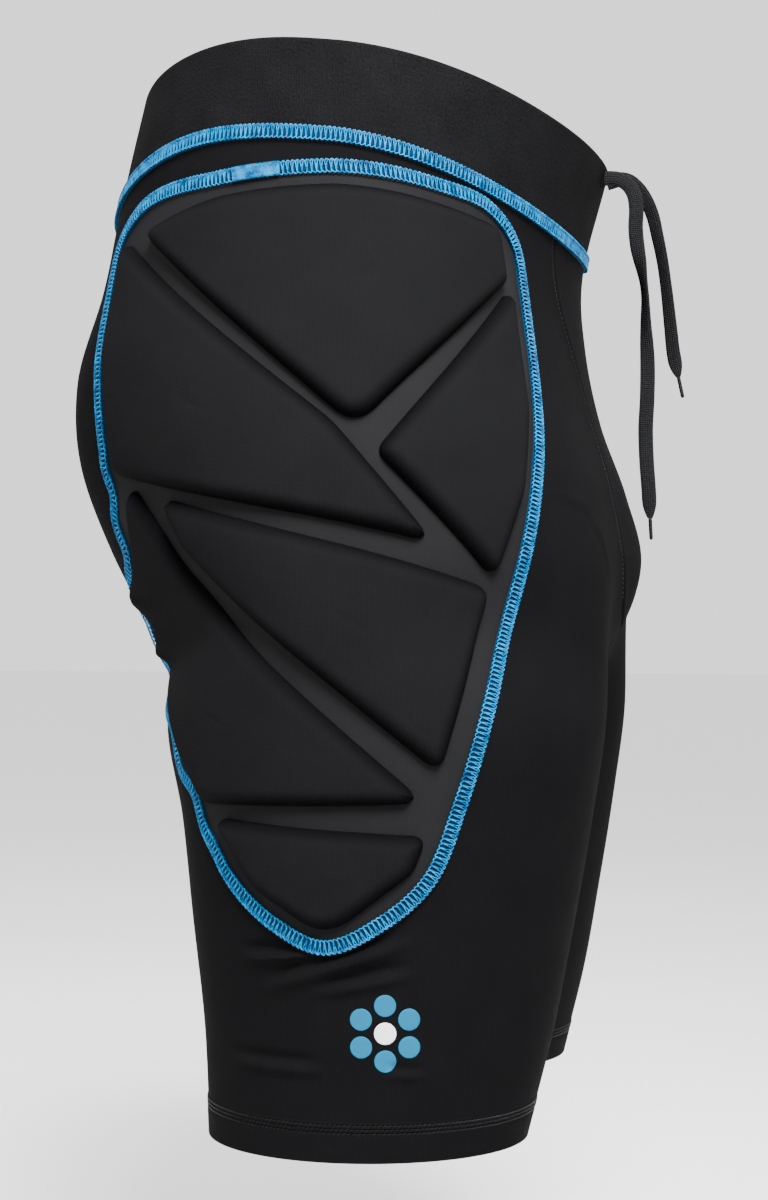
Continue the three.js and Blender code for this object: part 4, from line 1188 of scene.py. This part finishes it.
def thread_tubes(lines, place, sides=4, is_closed=True):
    """Round tubes along lines of stitches, each laid on the cloth by place."""
    angle = ring_angles(sides) + math.pi / sides
    circle = THREAD_RADIUS * np.stack([np.cos(angle), np.sin(angle)], axis=-1)
    tubes = []
    for along_it, across, lift in lines:
        line, normal = place(along_it, across, lift)
        around = np.roll(line, -1, axis=0) - np.roll(line, 1, axis=0)
        way = unit(around if is_closed else np.gradient(line, axis=0))
        side = unit(np.cross(normal, way))
        profile = np.repeat(circle[None], len(line), axis=0)
        tubes.append(carried(line, side, np.cross(way, side), profile, is_closed))
    return joined(tubes)


def thread_material(name, deep, bright):
    """Twisted thread: a fine grain as its bump, and a colour that follows that grain, with painted shade in
    its hollows and painted highlight on its crowns, mixed with a larger random patch of tone.
    """
    material, tree, shader = new_material(name, 0.05)
    fibre = add_noise(tree, 1500.0, 3.0, 0.6)
    patch = add_noise(tree, 260.0, 2.0, 0.5)
    tone = tree.nodes.new("ShaderNodeMapRange")
    tone.inputs["From Min"].default_value = 0.36
    tone.inputs["From Max"].default_value = 0.62
    # The fine grain sets both the bump and the colour: painted shade in its hollows and painted highlight on
    # its crowns.
    both = calculate(tree, "MULTIPLY_ADD", fibre, 0.5, calculate(tree, "MULTIPLY", patch, 0.5))
    tree.links.new(both, tone.inputs["Value"])
    tree.links.new(mixed(tree, tone.outputs["Result"], deep, bright), shader.inputs["Base Color"])
    tree.links.new(calculate(tree, "MULTIPLY_ADD", fibre, 0.2, 0.32), shader.inputs["Roughness"])
    add_relief(tree, shader, fibre, 0.0001)
    return material


def seam_bed(place, length, columns=420):
    """Pressed cloth under the thread: a low rounded strip all along the seam."""
    widths = np.linspace(-1, 1, 9) * (SEAM_WIDTH / 2 + 0.1 * MM)
    at = np.arange(columns) / columns * length
    s, w = np.meshgrid(at, widths, indexing="ij")
    crown = SEAM_BED * np.sqrt(np.maximum(0, 1 - (w / (SEAM_WIDTH / 2 + 0.1 * MM)) ** 2)) ** 0.6
    top, _ = place(s.ravel(), w.ravel(), crown.ravel())
    bottom, _ = place(s.ravel(), w.ravel(), np.full(s.size, -0.4 * MM))
    faces = grid_faces(columns, len(widths))
    last = (columns - 1) * len(widths) + np.arange(len(widths) - 1)
    joint = np.arange(len(widths) - 1)
    faces = np.concatenate([faces, np.stack([last, last + 1, joint + 1, joint], axis=-1)])
    points, shell_faces = shell(top, bottom, faces)
    uv = np.stack([s.ravel(), w.ravel()], axis=-1)
    return points, shell_faces, np.concatenate([uv, uv])


waist_length = lengths_along(face_points(TABLE_SHARES, np.full(401, BAND_HEIGHT)))


def waist_place(along_it, across, lift):
    """A place on the waist seam: along it from the centre front round the right side and back."""
    half = waist_length[-1]
    at = np.mod(along_it, 2 * half)
    is_left = at > half
    share = np.interp(np.where(is_left, 2 * half - at, at), waist_length, TABLE_SHARES)
    points, normal = lifted(share, BAND_HEIGHT - across, lift)
    flip = np.where(is_left[:, None], np.array([-1.0, 1, 1]), np.ones(3))
    return points * flip, normal * flip


seam_outline = wavy_edge(smooth_outline(np.array(PAD_EDGE) * PAD_SIZE, 1200))
seam_length = lengths_along(np.concatenate([seam_outline, seam_outline[:1]]))
seam_way = unit(np.roll(seam_outline, -1, axis=0) - np.roll(seam_outline, 1, axis=0))
seam_out = np.stack([-seam_way[:, 1], seam_way[:, 0]], axis=-1)


def pad_seam_place(along_it, across, lift):
    """A place on the right pad's seam: along its outline and out from it."""
    at = np.mod(along_it, seam_length[-1])

    def read(values):
        closed = np.concatenate([values, values[:1]])
        return np.stack([np.interp(at, seam_length, closed[:, i]) for i in (0, 1)], axis=-1)

    return pad_place(read(seam_outline) + read(seam_out) * across[:, None], lift)


# Deep and bright blues: the range of the painted shade and painted highlight on the thread.
seam_thread = thread_material("seam_thread", "002e56", "0074a8")
seam_under = cloth_material(
    "seam_under", "011d32", "022e4a", {"Rib Pitch": 0.0010, "Row Pitch": 0.0010, "Slub": 0.5},
    bump=0.00015, roughness=0.8, specular=0.05,
)


def add_seam(name, place, length, node, side=-1):
    """Thread over its pressed strip, all round one seam."""
    points, faces = thread_tubes(stitch_lines(length), place)
    threads = side_piece(f"{name}_stitches", points, faces, None, side)
    finish_piece(threads, seam_thread, [node])
    points, faces, uv = seam_bed(place, length)
    bed = side_piece(f"{name}_bed", points, faces, uv, side)
    finish_piece(bed, seam_under)


# Where each pad seam starts and ends, a short dense zigzag locks its loops.
LOCK_PLACE = (-43 * MM, -21 * MM)
LOCK_PITCH = 0.62 * MM


def lock_line():
    """Along, across and lift of the zigzag: a cosine across the seam, once a pitch."""
    angle = 2 * math.pi * np.arange(8 * int((LOCK_PLACE[1] - LOCK_PLACE[0]) / LOCK_PITCH)) / 8
    along_it = LOCK_PLACE[0] + angle / (2 * math.pi) * LOCK_PITCH
    across = (SEAM_WIDTH / 2 - 0.1 * MM) * np.cos(angle)
    return along_it, across, np.full_like(angle, SEAM_BED + 1.05 * MM)


for side_name, side in SIDES:
    points, faces = thread_tubes([lock_line()], pad_seam_place, is_closed=False)
    lock = side_piece(f"{side_name}_pad_seam_lock", points, faces, None, side)
    finish_piece(lock, seam_thread)
add_seam("waist_seam", waist_place, 2 * waist_length[-1], "waist_seam")
for side_name, side in SIDES:
    add_seam(f"{side_name}_pad_seam", pad_seam_place, seam_length[-1], f"pad_seam_{side_name}", side)

# Floor and light: a plain pale floor well below the hems, a pale surround, one focused key lamp above the
# photo's camera and three wide weak ones behind, above and in front.
FLOOR_HEIGHT = -0.62
FLOOR_REACH = 9.0
floor_points = np.array([(-1, -1, 0), (1, -1, 0), (1, 1, 0), (-1, 1, 0)]) * FLOOR_REACH
floor = make_piece("floor", floor_points + np.array([0, 0, FLOOR_HEIGHT]), [np.array([[0, 1, 2, 3]])])
floor_material, _, floor_shader = new_material("floor_paint", 0.5, "f2f2f2")
floor_shader.inputs["Roughness"].default_value = 0.9
floor.data.materials.append(floor_material)

surround = bpy.data.worlds.new("surround")
surround.use_nodes = True
surround.node_tree.nodes["Background"].inputs["Color"].default_value = (1, 1, 1, 1)
surround.node_tree.nodes["Background"].inputs["Strength"].default_value = 1.5
bpy.context.scene.world = surround

LAMPS = [
    dict(name="key_soft", place=(-1.10, -0.40, 1.05), aim=(-0.1, 0, -0.02), size=0.8, power=19, spread=58),
    dict(name="rear_soft", place=(-1.2, 1.4, 0.8), aim=(0, 0, -0.2), size=1.2, power=12, spread=180),
    dict(name="top_soft", place=(-0.2, 0.1, 1.7), aim=(0, 0, -0.2), size=1.4, power=12, spread=180),
    dict(name="far_soft", place=(1.2, -1.6, 0.7), aim=(0, 0, -0.2), size=1.3, power=16, spread=180),
]
for lamp in LAMPS:
    light = bpy.data.lights.new(lamp["name"], "AREA")
    light.shape = "DISK"
    light.size = lamp["size"]
    light.energy = lamp["power"]
    light.spread = math.radians(lamp["spread"])
    holder = bpy.data.objects.new(lamp["name"], light)
    holder.location = lamp["place"]
    aim = np.array(lamp["aim"]) - np.array(lamp["place"])
    flat_reach = math.hypot(aim[0], aim[1])
    holder.rotation_euler = (math.atan2(flat_reach, -aim[2]), 0, math.atan2(-aim[0], aim[1]))
    bpy.context.scene.collection.objects.link(holder)
